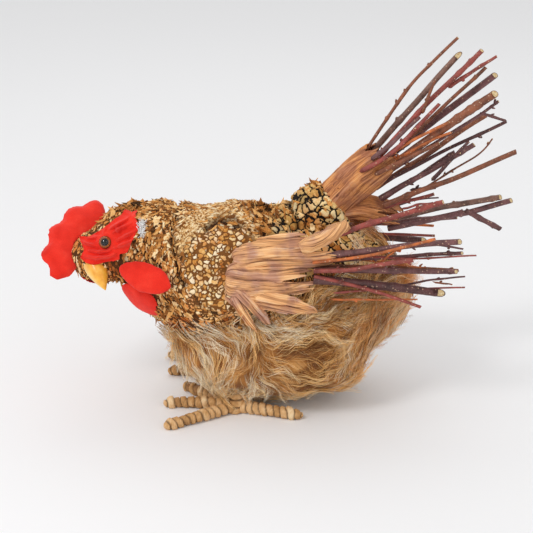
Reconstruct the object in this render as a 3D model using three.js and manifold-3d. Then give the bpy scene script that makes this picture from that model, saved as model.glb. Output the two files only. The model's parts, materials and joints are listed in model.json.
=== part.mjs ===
// Hen figurine made of bark, fur, palm sheath, twigs, wrapped wire and stuffed cotton
// Millimetres, +Z up. The beak end points to -X, the tail to +X, the left wing to -Y.
import * as THREE from 'three';
import { mergeVertices } from 'three/addons/utils/BufferGeometryUtils.js';
import Module from 'manifold-3d';

const wasm = await Module();
wasm.setup();

// Free room left between neighbouring pieces
const clearance = 0.35;

// Head, as a ball that the neck grows out of, and the way that it is turned
const headCentre = new THREE.Vector3(-142, -8, 130);
const headRadius = 21.5;
const beakWay = new THREE.Vector3(-0.461, -0.788, -0.407).normalize();
const crownHint = new THREE.Vector3(-0.845, 0.251, 0.471);
const cheekWay = crownHint.clone().cross(beakWay).normalize();
const crownWay = beakWay.clone().cross(cheekWay).normalize();

// Body from the face to the rump, one row a section: x, y, z, half height, half width
const bodySections = [
  [-164, -9, 128, 0, 0],
  [-161, -9, 128, 10, 10],
  [-153, -9, 129, 18, 18],
  [-142, -8, 130, headRadius, headRadius],
  [-130, -5, 133, 26.5, 27],
  [-119, -2, 136, 33.5, 33],
  [-107, 0, 134, 40, 39],
  [-87, 0, 129, 45.5, 45],
  [-65, 0, 118, 56, 52],
  [-31, 0, 109, 65, 56],
  [11, 0, 105, 62, 56],
  [54, 0, 103, 56, 50],
  [85, 0, 103, 39, 37],
  [103, 0, 102, 20, 20],
  [110, 0, 102, 0, 0],
];
const barkRelief = 2;
const barkWave = 21;

// Place that the tail fans out from, x and z
const tailCentre = [29, 144];

// Rows of sections given from the tail's centre, set in their place
function fromTail(rows) {
  return rows.map(([x, y, z, high, wide]) => [tailCentre[0] + x, y, tailCentre[1] + z, high, wide]);
}

// Bark collar that climbs from the back to the root of the tail
const collarSections = fromTail([
  [-23, 0, -8, 0, 0],
  [-15, 0, -2, 21, 23],
  [1, 0, 12, 24, 24],
  [15, 0, 22, 23, 22],
  [27, 0, 31, 21, 20],
  [29, 0, 33, 0, 0],
]);
const collarRelief = 1.6;
const collarWave = 13;

// Fur belly, a thick skin that hangs round the lower half of the body
const furSections = [
  [-78, 0, 78, 0, 0],
  [-73, 0, 78, 20, 22],
  [-63, 0, 75, 35, 38],
  [-42, 0, 71, 57, 52],
  [-12, 0, 70, 60, 58],
  [20, 0, 71, 60, 60],
  [48, 0, 75, 58, 57],
  [70, 0, 82, 53, 51],
  [87, 0, 82, 43, 42],
  [100, 0, 76, 29, 29],
  [108, 0, 71, 16, 16],
  [112, 0, 68, 0, 0],
];
const furSquareness = 0.62;
const lockRelief = 3;
const lockWidth = 30;

// Comb, five stuffed lobes round the crown: where each stands, from the beak, and how far it reaches
const combLobes = [
  { turn: 24, reach: 51.5 },
  { turn: 50, reach: 49 },
  { turn: 87, reach: 46.5 },
  { turn: 120, reach: 53 },
  { turn: 147, reach: 64 },
];
const combNotch = 5.5;
const combFoot = 16;
const combThickness = 13;
const combEndMargin = 12;

// Beak, a blunt hooked cone
const beakRoot = new THREE.Vector3(-144, -20, 130);
const beakTip = new THREE.Vector3(-134, -41, 112);
const beakWidth = 19;

// Glass eyes on crumpled cloth patches
const eyeDiameter = 10.8;
const eyeForward = 4;
const eyeBelowCrown = -4;
const leftEyeOut = 28;
const rightEyeOut = 25;
const leftPatchReach = [25, 23, 21, 20, 38, 25, 19, 19];
const rightPatchReach = [14, 15, 16, 17, 22, 18, 15, 14];
const patchThickness = 5.5;
const patchBedding = -3;
const patchPleats = 7;
const patchPleatDepth = 1.4;
const patchStandOff = 13;
const rayStart = 150;

// Stuffed wattles, leaf shaped
const wattleThickness = 10;
const leftWattle = { root: [-122, -37, 130], tip: [-77, -56, 119], width: 26, facing: [0.2, -0.9, 0.3] };
const rightWattle = { root: [-122, -22, 108], tip: [-84, -38, 90], width: 30, facing: [0.1, -0.8, -0.5] };

// Palm sheath of the left wing, one lobe a row: front x and z, tip x and z, width
const wingLobes = [
  { front: [-26, 147], tip: [57, 163], width: 21 },
  { front: [-30, 139], tip: [54, 150], width: 27 },
  { front: [-32, 130], tip: [50, 135], width: 28 },
  { front: [-32, 123], tip: [45, 120], width: 27 },
  { front: [-31, 117], tip: [34, 103], width: 24 },
  { front: [-29, 115], tip: [0, 86], width: 24 },
];
const rightWingDrop = 14;
const lobeThickness = 7;
const wingOut = 60;

// Palm sheath round the tail: sleeve sections and the lower torn lobe
const sleeveSections = fromTail([
  [17, 0, 24, 0, 0],
  [21, 0, 28, 12, 12],
  [33, 0, 40, 14.5, 14],
  [47, 0, 53, 16.5, 15],
  [61, 0, 65, 15.5, 15],
  [70, 0, 73, 13.5, 14],
  [71, 0, 74, 0, 0],
]);
const lowerLobeSections = fromTail([
  [21, 4, 20, 0, 0],
  [27, 5, 21, 8, 12],
  [45, 8, 24, 10, 15],
  [63, 10, 21, 10, 15],
  [79, 12, 15, 7, 11],
  [85, 12, 13, 0, 0],
]);
const sheathRidge = 0.9;
const sheathRidges = 5;

// Twig fans. Each twig starts at a turn from the fan's centre and ends at another, in degrees above
// level, and runs between two distances from the mid plane. Lengths are from the fan's centre.
const sleeveRoot = 86;
const lowerRoot = 74;
const tailTwigs = [
  { from: 54, to: 53, start: sleeveRoot, reach: 209, out: [3, 8], across: 3.2, bow: 9 },
  { from: 50, to: 50, start: sleeveRoot, reach: 197, out: [10, 13], across: 5.8, bow: 1 },
  { from: 48, to: 47.5, start: sleeveRoot, reach: 214, out: [-4, 1], across: 5, bow: 2 },
  { from: 43.5, to: 44, start: sleeveRoot, reach: 207, out: [3, 3], across: 3.6, bow: -1 },
  { from: 43, to: 40.5, start: sleeveRoot, reach: 208, out: [9, 13], across: 6.6, bow: 1 },
  { from: 41, to: 39, start: sleeveRoot, reach: 199, out: [-8, -12], across: 7.8, bow: 1 },
  { from: 48.5, to: 41, start: sleeveRoot, reach: 157, out: [-11, -16], across: 3, bow: 2 },
  { from: 37.5, to: 36.5, start: sleeveRoot, reach: 198, out: [1, -6], across: 3.4, bow: 0,
    fork: { at: 0.84, turn: -52, length: 22, across: 2.4 } },
  { from: 32, to: 34, start: lowerRoot, reach: 183, out: [11, 9], across: 5, bow: 0 },
  { from: 35, to: 30.5, start: lowerRoot, reach: 195, out: [3, 2], across: 3.4, bow: 1 },
  { from: 28, to: 30, start: lowerRoot, reach: 163, out: [-4, -6], across: 5, bow: 0 },
  { from: 24, to: 29, start: lowerRoot, reach: 146, out: [8, 9], across: 5, bow: 0 },
  { from: 23.5, to: 24, start: lowerRoot, reach: 191, out: [-7, -14], across: 5, bow: -1 },
  { from: 20, to: 18.5, start: lowerRoot, reach: 117, out: [1, 1], across: 3.4, bow: 0 },
  { from: 7.5, to: 9.5, start: lowerRoot, reach: 172, out: [16, 20], across: 5.8, bow: 1 },
  { from: 3.5, to: 8, start: lowerRoot, reach: 181, out: [8, 21], across: 5, bow: -1,
    fork: { at: 0.63, turn: -35, length: 34, across: 5 } },
];
const wingCentre = [-25, 132];
const wingRoot = 63;
const leftWingTwigs = [
  { from: 22, to: 19, start: 84, reach: 176, out: [58, 48], across: 5, bow: 1 },
  { from: 14, to: 9.5, start: wingRoot, reach: 181, out: [61, 66], across: 5.8, bow: 1 },
  { from: 9, to: 5.5, start: wingRoot, reach: 183, out: [56, 58], across: 3.6, bow: 0 },
  { from: 10.5, to: 12.5, start: wingRoot, reach: 162, out: [64, 74], across: 2.8, bow: -3 },
  { from: 4, to: 7.5, start: wingRoot, reach: 142, out: [64.5, 77], across: 4.2, bow: -2 },
  { from: 3.5, to: 1.5, start: wingRoot, reach: 177, out: [60, 66], across: 4.6, bow: 0 },
  { from: 5, to: 1, start: wingRoot, reach: 180, out: [55, 59], across: 2.8, bow: 1 },
  { from: -3.5, to: -5, start: wingRoot, reach: 165, out: [62, 64], across: 7.8, bow: 1 },
  { from: 0.5, to: -9, start: wingRoot, reach: 151, out: [64, 72], across: 3.2, bow: 2 },
];
const rightWingTwigs = [
  { from: 0, to: 3.5, start: wingRoot, reach: 193, out: [57, 54], across: 5.4, bow: 0 },
  { from: 5, to: 0.5, start: wingRoot, reach: 173, out: [63, 60], across: 2.8, bow: 0 },
  { from: -4, to: -2, start: wingRoot, reach: 174, out: [57, 55], across: 2.8, bow: 1 },
  { from: -5, to: -5, start: wingRoot, reach: 165, out: [63, 66], across: 7.6, bow: 1 },
  { from: 8, to: -0.5, start: wingRoot, reach: 150, out: [64, 69], across: 4, bow: 1 },
  { from: -11, to: -10, start: wingRoot, reach: 148, out: [62, 70], across: 3.4, bow: 1 },
];
const twigSides = 6;
const straightSteps = 2;
const bowedSteps = 4;
const leastBow = 2;

// Legs and feet: where each foot stands, its shank, and its toes by turn from the front and length
const footX = -25;
const footSide = 39;
const shankRadius = 5;
const shankTop = 74;
const footPadRadius = 8;
const footPadHeight = 13;
const leftToes = [
  { name: 'outer', turn: -31, length: 70 },
  { name: 'middle', turn: 8, length: 64 },
  { name: 'inner', turn: 44, length: 66 },
  { name: 'rear', turn: 196, length: 58 },
];
const rightToes = [
  { name: 'outer', turn: -29, length: 75 },
  { name: 'middle', turn: 2, length: 64 },
  { name: 'inner', turn: 33, length: 44 },
  { name: 'rear', turn: 196, length: 57 },
];
const toeRadius = 5.5;
const wrapDip = 1.1;
const wrapPitch = 9.5;

// Colours of the materials
const colours = {
  bark: 0x8a6a3c,
  fur: 0xb58a55,
  redCloth: 0xd3241f,
  horn: 0xe3a443,
  glass: 0x4a2a16,
  sheath: 0x8f6f58,
  twig: 0x54302c,
  wrap: 0xb48a5a,
};

const degrees = Math.PI / 180;

// Smooth blend through rows of numbers, t from 0 to 1
function blendRows(rows, t) {
  const last = rows.length - 1;
  const place = Math.min(Math.max(t, 0), 1) * last;
  const index = Math.min(Math.floor(place), last - 1);
  const part = place - index;
  const before = rows[Math.max(index - 1, 0)];
  const start = rows[index];
  const end = rows[index + 1];
  const after = rows[Math.min(index + 2, last)];
  return start.map((value, column) => {
    const slopeIn = (end[column] - before[column]) / 2;
    const slopeOut = (after[column] - value) / 2;
    const square = part * part;
    const cube = square * part;
    return value * (2 * cube - 3 * square + 1) + end[column] * (3 * square - 2 * cube)
      + slopeIn * (cube - 2 * square + part) + slopeOut * (cube - square);
  });
}

// Smooth blend round a closed ring of numbers
function blendRing(values, angle) {
  const count = values.length;
  const place = ((angle / (2 * Math.PI)) * count + count) % count;
  const index = Math.floor(place);
  const part = place - index;
  const eased = part * part * (3 - 2 * part);
  return values[index % count] * (1 - eased) + values[(index + 1) % count] * eased;
}

// Uneven surface made of three crossed waves, from -1 to 1
function unevenness(point, wave) {
  const k = (2 * Math.PI) / wave;
  const first = Math.sin(point.x * k + 1.7 * Math.sin(point.z * k * 0.6));
  const second = Math.sin(point.y * k * 0.9 + point.x * k * 0.4 + 2);
  const third = Math.sin(point.z * k * 1.1 - point.y * k * 0.5 + 4);
  return (first + second + third) / 3;
}

// Wavy locks that sweep down and back over the belly, from -1 to 1
function lockWaves(point) {
  const sweep = point.x * 0.8 + point.z * 0.6 + 9 * Math.sin(point.z / 17 + point.x / 40);
  const cross = 0.4 * Math.sin(point.z / 9 + point.x / 13);
  return Math.sin((sweep * 2 * Math.PI) / lockWidth) * 0.75 + cross;
}

function solidFrom(geometry) {
  geometry.deleteAttribute('normal');
  geometry.deleteAttribute('uv');
  const merged = mergeVertices(geometry, 1e-4);
  const points = merged.attributes.position.array;
  const corners = Array.from(merged.index.array);
  const a = new THREE.Vector3();
  const b = new THREE.Vector3();
  const c = new THREE.Vector3();
  const kept = [];
  let volume = 0;
  for (let i = 0; i < corners.length; i += 3) {
    const [p, q, r] = corners.slice(i, i + 3);
    if (p === q || q === r || r === p) continue;
    a.fromArray(points, p * 3);
    b.fromArray(points, q * 3);
    c.fromArray(points, r * 3);
    volume += a.dot(b.cross(c));
    kept.push(p, q, r);
  }
  if (volume < 0) kept.reverse();
  return new wasm.Manifold(new wasm.Mesh({
    numProp: 3,
    vertProperties: new Float32Array(points),
    triVerts: new Uint32Array(kept),
  }));
}

// Closed skin over a ball's grid: place(t, angle) gives each point, t from 0 to 1 between the poles
function skinSolid(columns, rows, place) {
  const geometry = new THREE.SphereGeometry(1, columns, rows);
  const position = geometry.attributes.position;
  for (let row = 0; row <= rows; row += 1) {
    for (let column = 0; column <= columns; column += 1) {
      const angle = ((column % columns) / columns) * 2 * Math.PI;
      const onPole = row === 0 || row === rows;
      const point = place(row / rows, onPole ? 0 : angle);
      position.setXYZ(row * (columns + 1) + column, point.x, point.y, point.z);
    }
  }
  return solidFrom(geometry);
}

// Squares an oval's sine or cosine: 1 leaves it round, and less makes it boxier
function bulge(value, squareness) {
  return Math.sign(value) * Math.abs(value) ** squareness;
}

// Solid swept through oval sections. The sections' height lies along the hint, squared to the path.
function sweptSolid({ sections, columns, rows, hint, relief, squareness = 1, grow = 0 }) {
  const upHint = hint ?? new THREE.Vector3(0, 0, 1);
  const step = 0.25 / (sections.length - 1);
  return skinSolid(columns, rows, (t, angle) => {
    const [x, y, z, high, wide] = blendRows(sections, t);
    const behind = new THREE.Vector3(...blendRows(sections, t - step));
    const ahead = new THREE.Vector3(...blendRows(sections, t + step));
    const along = ahead.sub(behind).normalize();
    const side = along.clone().cross(upHint).normalize();
    const up = side.clone().cross(along).normalize();
    const centre = new THREE.Vector3(x, y, z);
    if (t === 0 || t === 1) {
      return centre.addScaledVector(along, t === 0 ? -grow : grow);
    }
    const rim = centre.clone()
      .addScaledVector(up, Math.max(high, 0.2) * bulge(Math.cos(angle), squareness))
      .addScaledVector(side, Math.max(wide, 0.2) * bulge(Math.sin(angle), squareness));
    const outward = rim.clone().sub(centre).normalize();
    const raised = relief ? relief(rim, t, angle) : 0;
    return rim.addScaledVector(outward, raised + grow);
  });
}

// Round rod with flat ends, bent along a path of points
function rodSolid(points, rootRadius, tipRadius, sides, steps) {
  const curve = new THREE.CatmullRomCurve3(points);
  const geometry = new THREE.CylinderGeometry(tipRadius, rootRadius, 1, sides, steps);
  const position = geometry.attributes.position;
  const flat = new THREE.Vector3();
  for (let i = 0; i < position.count; i += 1) {
    flat.fromBufferAttribute(position, i);
    const t = Math.min(Math.max(flat.y + 0.5, 0), 1);
    const along = curve.getTangent(t);
    const side = along.clone().cross(new THREE.Vector3(0, 1, 0)).normalize();
    const up = side.clone().cross(along).normalize();
    const point = curve.getPoint(t).addScaledVector(side, flat.x).addScaledVector(up, flat.z);
    position.setXYZ(i, point.x, point.y, point.z);
  }
  return solidFrom(geometry);
}

function largestPart(solid) {
  const parts = solid.decompose();
  return parts.reduce((best, part) => (part.volume() > best.volume() ? part : best));
}

// Cuts the room of its neighbours out of a solid, and keeps its main part
function clearOf(solid, neighbours) {
  let left = solid;
  for (const neighbour of neighbours) {
    if (left.intersect(neighbour).volume() > 0) left = left.subtract(neighbour);
  }
  return largestPart(left);
}

function meshFrom(solid) {
  const { vertProperties, triVerts } = solid.getMesh();
  const geometry = new THREE.BufferGeometry();
  geometry.setAttribute('position', new THREE.BufferAttribute(vertProperties, 3));
  geometry.setIndex(new THREE.BufferAttribute(triVerts, 1));
  return geometry;
}

// Bark skin over the head, neck and back, with the collar of the tail
function barkSolid(grow) {
  const body = sweptSolid({
    sections: bodySections,
    columns: 22,
    rows: 24,
    relief: (point) => barkRelief * unevenness(point, barkWave),
    grow,
  });
  const collar = sweptSolid({
    sections: collarSections,
    columns: 12,
    rows: 9,
    relief: (point) => collarRelief * unevenness(point, collarWave),
    grow,
  });
  return body.add(collar);
}

function furSolid(grow) {
  return sweptSolid({
    sections: furSections,
    columns: 24,
    rows: 18,
    relief: (point) => lockRelief * lockWaves(point),
    squareness: furSquareness,
    grow,
  });
}

function combReach(turn) {
  for (let i = 0; i < combLobes.length - 1; i += 1) {
    const here = combLobes[i];
    const next = combLobes[i + 1];
    if (turn >= here.turn && turn <= next.turn) {
      const part = (turn - here.turn) / (next.turn - here.turn);
      const reach = here.reach + (next.reach - here.reach) * part;
      return reach - combNotch * Math.sin(Math.PI * part) ** 2;
    }
  }
  return turn < combLobes[0].turn ? combLobes[0].reach : combLobes[combLobes.length - 1].reach;
}

function combSolid(grow) {
  const first = combLobes[0].turn - combEndMargin;
  const last = combLobes[combLobes.length - 1].turn + combEndMargin;
  return skinSolid(8, 22, (t, angle) => {
    const turn = first + (last - first) * t;
    const fullness = Math.sqrt(Math.max(1 - Math.abs(2 * t - 1) ** 5, 0));
    const reach = combReach(turn);
    const middle = (reach + combFoot) / 2;
    const half = ((reach - combFoot) / 2 + grow) * fullness;
    const distance = middle + half * Math.cos(angle);
    const side = (combThickness / 2 + grow) * fullness ** 0.5 * Math.sin(angle);
    return headCentre.clone()
      .addScaledVector(beakWay, distance * Math.cos(turn * degrees))
      .addScaledVector(crownWay, distance * Math.sin(turn * degrees))
      .addScaledVector(cheekWay, side);
  });
}

function beakSolid(grow) {
  const span = beakTip.clone().sub(beakRoot);
  const ratios = [[0, 0], [0.02, 0.9], [0.35, 1], [0.65, 0.72], [0.88, 0.34], [1, 0]];
  const sections = ratios.map(([t, size]) => {
    const centre = beakRoot.clone().addScaledVector(span, t);
    return [...centre.toArray(), (size * beakWidth) / 2, (size * beakWidth) / 2];
  });
  return sweptSolid({ sections, columns: 8, rows: 8, hint: crownWay, grow });
}

function eyeOut(side) {
  return side > 0 ? leftEyeOut : -rightEyeOut;
}

function eyeCentre(side) {
  return headCentre.clone()
    .addScaledVector(beakWay, eyeForward)
    .addScaledVector(crownWay, eyeBelowCrown)
    .addScaledVector(cheekWay, eyeOut(side));
}

function eyeSolid(side, grow) {
  const centre = eyeCentre(side);
  const ball = new THREE.SphereGeometry(eyeDiameter / 2 + grow, 10, 7);
  ball.translate(...centre.toArray());
  return solidFrom(ball);
}

// Crumpled cloth patch that lies over the cheek round the eye
function patchSolid(side, reaches, target) {
  const out = cheekWay.clone().multiplyScalar(side);
  const centre = eyeCentre(side).addScaledVector(cheekWay, -eyeOut(side));
  const caster = new THREE.Raycaster();
  const standOff = (offset) => {
    const start = centre.clone().add(offset).addScaledVector(out, rayStart);
    caster.set(start, out.clone().negate());
    const hit = caster.intersectObject(target)[0];
    return Math.max(hit ? rayStart - hit.distance : 0, patchStandOff);
  };
  return skinSolid(15, 6, (t, angle) => {
    const share = Math.min(2 * t, 2 - 2 * t);
    const spread = share * blendRing(reaches, angle);
    const offset = beakWay.clone().multiplyScalar(spread * Math.cos(angle))
      .addScaledVector(crownWay, spread * Math.sin(angle));
    const pleat = patchPleatDepth * Math.cos(patchPleats * angle + 3 * share) * share;
    const rim = 1 - 0.6 * share * share;
    const lift = t < 0.5 ? patchThickness * rim + pleat : patchBedding;
    return centre.clone().add(offset).addScaledVector(out, standOff(offset) + lift);
  });
}

// Stuffed leaf between its root and its tip
function wattleSolid({ root, tip, width, facing }, grow) {
  const start = new THREE.Vector3(...root);
  const span = new THREE.Vector3(...tip).sub(start);
  const ratios = [[0, 0], [0.06, 0.42], [0.3, 0.86], [0.55, 1], [0.8, 0.8], [0.95, 0.34], [1, 0]];
  const sections = ratios.map(([t, size]) => {
    const centre = start.clone().addScaledVector(span, t);
    return [...centre.toArray(), (size * wattleThickness) / 2, (size * width) / 2];
  });
  return sweptSolid({ sections, columns: 10, rows: 10, hint: new THREE.Vector3(...facing), grow });
}

// Outer face of the body and fur at a place seen from one side
function sideReach(target, x, z, side) {
  const caster = new THREE.Raycaster(
    new THREE.Vector3(x, side * rayStart, z),
    new THREE.Vector3(0, -side, 0),
  );
  const hit = caster.intersectObject(target)[0];
  return hit ? rayStart - hit.distance : 0;
}

// Long torn lobe of palm sheath, laid on the body at its front and lifted over the twigs behind
function lobeSolid({ front, tip, width }, side, target) {
  const drop = side > 0 ? rightWingDrop : 0;
  const sizes = [0, 0.85, 1, 1, 0.92, 0.72, 0.42, 0];
  const sections = sizes.map((size, index) => {
    const t = index / (sizes.length - 1);
    const x = front[0] + (tip[0] - front[0]) * t;
    const z = front[1] + (tip[1] - front[1]) * t - drop;
    const resting = sideReach(target, x, z, side) + lobeThickness / 3;
    const out = Math.max(resting, resting + (wingOut - resting) * t, wingOut - 8);
    return [x, side * out, z, (size * width) / 2, (Math.sqrt(size) * lobeThickness) / 2];
  });
  const ridge = (point, t, angle) => sheathRidge * Math.cos(sheathRidges * angle) * Math.sin(Math.PI * t);
  return sweptSolid({ sections, columns: 6, rows: 6, relief: ridge });
}

function wingSheathSolid(side, target) {
  return wingLobes.map((lobe) => lobeSolid(lobe, side, target)).reduce((all, lobe) => all.add(lobe));
}

function tailSheathSolid() {
  const ridge = (point, t, angle) => sheathRidge * Math.cos(sheathRidges * angle + 2 * t);
  const sleeve = sweptSolid({ sections: sleeveSections, columns: 11, rows: 7, relief: ridge });
  const lower = sweptSolid({ sections: lowerLobeSections, columns: 8, rows: 5, relief: ridge });
  return sleeve.add(lower);
}

// Point of a fan, by its distance from the fan's centre, its turn and its place across
function fanPoint(centre, distance, turn, across) {
  return new THREE.Vector3(
    centre[0] + distance * Math.cos(turn * degrees),
    across,
    centre[1] + distance * Math.sin(turn * degrees),
  );
}

function twigSolid(centre, side, twig, grow) {
  const root = fanPoint(centre, twig.start, twig.from, side * twig.out[0]);
  const tip = fanPoint(centre, twig.reach, twig.to, side * twig.out[1]);
  const middle = root.clone().lerp(tip, 0.5);
  middle.z += twig.bow;
  const path = new THREE.CatmullRomCurve3([root, middle, tip]);
  const radius = twig.across / 2;
  const steps = Math.abs(twig.bow) < leastBow ? straightSteps : bowedSteps;
  const rod = rodSolid([root, middle, tip], radius * 1.08 + grow, radius * 0.92 + grow, twigSides, steps);
  if (!twig.fork) return rod;
  const joint = path.getPoint(twig.fork.at);
  const turn = (twig.to + twig.fork.turn) * degrees;
  const reach = new THREE.Vector3(Math.cos(turn), 0, Math.sin(turn)).multiplyScalar(twig.fork.length);
  const end = joint.clone().add(reach);
  const forkRadius = twig.fork.across / 2 + grow;
  return rod.add(rodSolid([joint, joint.clone().lerp(end, 0.5), end], forkRadius, forkRadius, twigSides, 2));
}

function legSolid(side, grow) {
  const padRadius = footPadRadius + grow;
  const pad = new THREE.CylinderGeometry(padRadius, padRadius, footPadHeight + grow, 12);
  pad.rotateX(Math.PI / 2);
  pad.translate(footX, side * footSide, (footPadHeight + grow) / 2);
  const shankGirth = shankRadius + grow;
  const shank = new THREE.CylinderGeometry(shankGirth, shankGirth, shankTop, 10);
  shank.rotateX(Math.PI / 2);
  shank.translate(footX, side * footSide, footPadHeight / 2 + shankTop / 2);
  return solidFrom(pad).add(solidFrom(shank));
}

// Toe wound with strips: a row of bulges that ends in a blunt point
function toeSolid(side, toe, grow) {
  const turn = (180 + side * toe.turn) * degrees;
  const along = new THREE.Vector3(Math.cos(turn), Math.sin(turn), 0);
  const start = footPadRadius + clearance;
  const wraps = Math.round((toe.length - start) / wrapPitch);
  const pitch = (toe.length - start) / wraps;
  const sections = [[0, 0.6]];
  for (let wrap = 0; wrap < wraps; wrap += 1) {
    const taper = wrap === wraps - 1 ? 0.75 : 1;
    sections.push([(wrap + 0.08) * pitch, (toeRadius - wrapDip) * taper]);
    sections.push([(wrap + 0.55) * pitch, toeRadius * taper]);
  }
  sections.push([toe.length - start, 0.6]);
  const columns = 6;
  const rows = sections.length + 1;
  return skinSolid(columns, rows, (t, angle) => {
    const index = Math.min(Math.max(Math.round(t * rows) - 1, 0), sections.length - 1);
    const [distance, radius] = sections[index];
    const size = t === 0 || t === 1 ? 0 : radius + grow;
    const point = new THREE.Vector3(footX, side * footSide, 0).addScaledVector(along, start + distance);
    const across = new THREE.Vector3(-along.y, along.x, 0);
    point.addScaledVector(across, size * Math.sin(angle));
    point.z = Math.max(toeRadius * 0.92 + size * Math.cos(angle), 0);
    return point;
  });
}

const hen = new THREE.Group();

function addPiece(name, solid, colour, roughness) {
  const finish = { color: colour, roughness, metalness: 0, flatShading: true };
  const material = new THREE.MeshStandardMaterial(finish);
  const piece = new THREE.Mesh(meshFrom(solid), material);
  piece.name = name;
  hen.add(piece);
  return piece;
}

const sides = [['left', -1], ['right', 1]];

// The bark body comes first, and everything else is cut to clear it
const bark = barkSolid(0);
const barkRoom = barkSolid(clearance).add(bark);
addPiece('bark_body', bark, colours.bark, 0.9);

// Twigs, each cut to clear those already placed
const fans = [
  ['tail_twig', tailCentre, 1, tailTwigs],
  ['left_wing_twig', wingCentre, -1, leftWingTwigs],
  ['right_wing_twig', wingCentre, 1, rightWingTwigs],
];
const twigRooms = [];
for (const [name, centre, side, twigs] of fans) {
  twigs.forEach((twig, index) => {
    const solid = clearOf(twigSolid(centre, side, twig, 0), [barkRoom, ...twigRooms]);
    twigRooms.push(twigSolid(centre, side, twig, clearance));
    addPiece(`${name}_${index + 1}`, solid, colours.twig, 0.7);
  });
}

// Legs stand on flat pads and end under the bark
const legRooms = [];
for (const [name, side] of sides) {
  const leg = clearOf(legSolid(side, 0), [barkRoom]);
  legRooms.push(legSolid(side, clearance));
  addPiece(`${name}_leg`, leg, colours.wrap, 0.8);
  const toeRooms = [];
  for (const toe of side < 0 ? leftToes : rightToes) {
    const solid = clearOf(toeSolid(side, toe, 0), [...legRooms, ...toeRooms]);
    toeRooms.push(toeSolid(side, toe, clearance));
    addPiece(`${name}_${toe.name}_toe`, solid, colours.wrap, 0.8);
  }
}

// Fur hangs on the bark and parts round the legs
const fur = clearOf(furSolid(0), [barkRoom, ...legRooms, ...twigRooms]);
const furRoom = furSolid(clearance);
addPiece('fur_belly', fur, colours.fur, 0.95);

// Beak, eyes, comb, cheek patches and wattles
const beakRoom = beakSolid(clearance);
addPiece('beak', clearOf(beakSolid(0), [barkRoom]), colours.horn, 0.45);
const combRoom = combSolid(clearance);
addPiece('comb', clearOf(combSolid(0), [barkRoom, beakRoom]), colours.redCloth, 0.85);
const headTarget = new THREE.Mesh(meshFrom(bark));
const wattles = [['left', -1, leftWattle], ['right', 1, rightWattle]];
const wattleRooms = [];
for (const [name, , wattle] of wattles) {
  const solid = clearOf(wattleSolid(wattle, 0), [barkRoom, beakRoom, furRoom, ...wattleRooms]);
  wattleRooms.push(wattleSolid(wattle, clearance));
  addPiece(`${name}_wattle`, solid, colours.redCloth, 0.85);
}
for (const [name, cheek, reaches] of [['left', 1, leftPatchReach], ['right', -1, rightPatchReach]]) {
  const headNeighbours = [barkRoom, eyeSolid(cheek, clearance), beakRoom, combRoom, ...wattleRooms];
  const patch = clearOf(patchSolid(cheek, reaches, headTarget), headNeighbours);
  addPiece(`${name}_eye`, clearOf(eyeSolid(cheek, 0), [barkRoom]), colours.glass, 0.08);
  addPiece(`${name}_cheek_patch`, patch, colours.redCloth, 0.85);
}

// Palm sheath covers the roots of the twigs
const flank = new THREE.Mesh(meshFrom(bark.add(furSolid(0))));
const tailRoom = [barkRoom, ...twigRooms];
addPiece('tail_sheath', clearOf(tailSheathSolid(), tailRoom), colours.sheath, 0.85);
for (const [name, side] of sides) {
  const solid = clearOf(wingSheathSolid(side, flank), [barkRoom, furRoom, ...twigRooms]);
  addPiece(`${name}_wing_sheath`, solid, colours.sheath, 0.85);
}

// The part stands on its feet, with its origin below the middle of its box
const box = new THREE.Box3().setFromObject(hen);
const middle = box.getCenter(new THREE.Vector3());
hen.position.set(-middle.x, -middle.y, -box.min.z);
hen.updateMatrixWorld(true);

export default hen;
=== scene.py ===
import json
import math
import random

import bmesh
import bpy
import numpy as np
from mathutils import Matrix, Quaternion, Vector, noise
from mathutils.bvhtree import BVHTree

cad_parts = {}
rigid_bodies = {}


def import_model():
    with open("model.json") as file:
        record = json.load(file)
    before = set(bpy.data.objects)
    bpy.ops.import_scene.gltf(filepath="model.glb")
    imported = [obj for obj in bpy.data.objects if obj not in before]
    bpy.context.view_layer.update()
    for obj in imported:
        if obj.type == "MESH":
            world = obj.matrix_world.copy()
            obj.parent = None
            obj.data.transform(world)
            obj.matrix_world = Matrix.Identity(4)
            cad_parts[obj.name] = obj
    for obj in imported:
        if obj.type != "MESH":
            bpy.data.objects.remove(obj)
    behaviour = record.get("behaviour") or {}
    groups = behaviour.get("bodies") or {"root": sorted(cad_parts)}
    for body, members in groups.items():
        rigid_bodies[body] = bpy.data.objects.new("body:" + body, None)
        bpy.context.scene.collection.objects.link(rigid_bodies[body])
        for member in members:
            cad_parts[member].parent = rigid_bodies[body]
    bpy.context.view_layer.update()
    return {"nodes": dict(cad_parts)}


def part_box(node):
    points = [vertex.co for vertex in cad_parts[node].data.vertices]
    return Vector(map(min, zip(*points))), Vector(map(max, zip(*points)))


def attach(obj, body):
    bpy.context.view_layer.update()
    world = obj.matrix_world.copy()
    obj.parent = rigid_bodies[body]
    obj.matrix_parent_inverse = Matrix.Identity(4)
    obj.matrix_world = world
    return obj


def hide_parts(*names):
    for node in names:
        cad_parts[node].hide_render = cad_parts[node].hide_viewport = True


# Hen ornament of bark, long fur, palm sheath, cut twigs and stuffed cotton
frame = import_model()
scene = bpy.context.scene
mm = 0.001
body = "root"

figure = {"footX": -25, "footSide": 39}  # where the left foot stands, mm in the hen's own drawing frame
legLow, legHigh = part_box("left_leg")
footAt = (Vector(legLow) + Vector(legHigh)) / 2
shift = Vector((footAt.x - figure["footX"] * mm, footAt.y + figure["footSide"] * mm, 0))


def at(x, y, z):
    return Vector((x, y, z)) * mm + shift


def clamp(value, low=0.0, high=1.0):
    return max(low, min(high, value))


def ease(value):
    value = clamp(value)
    return value * value * (3 - 2 * value)


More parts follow.
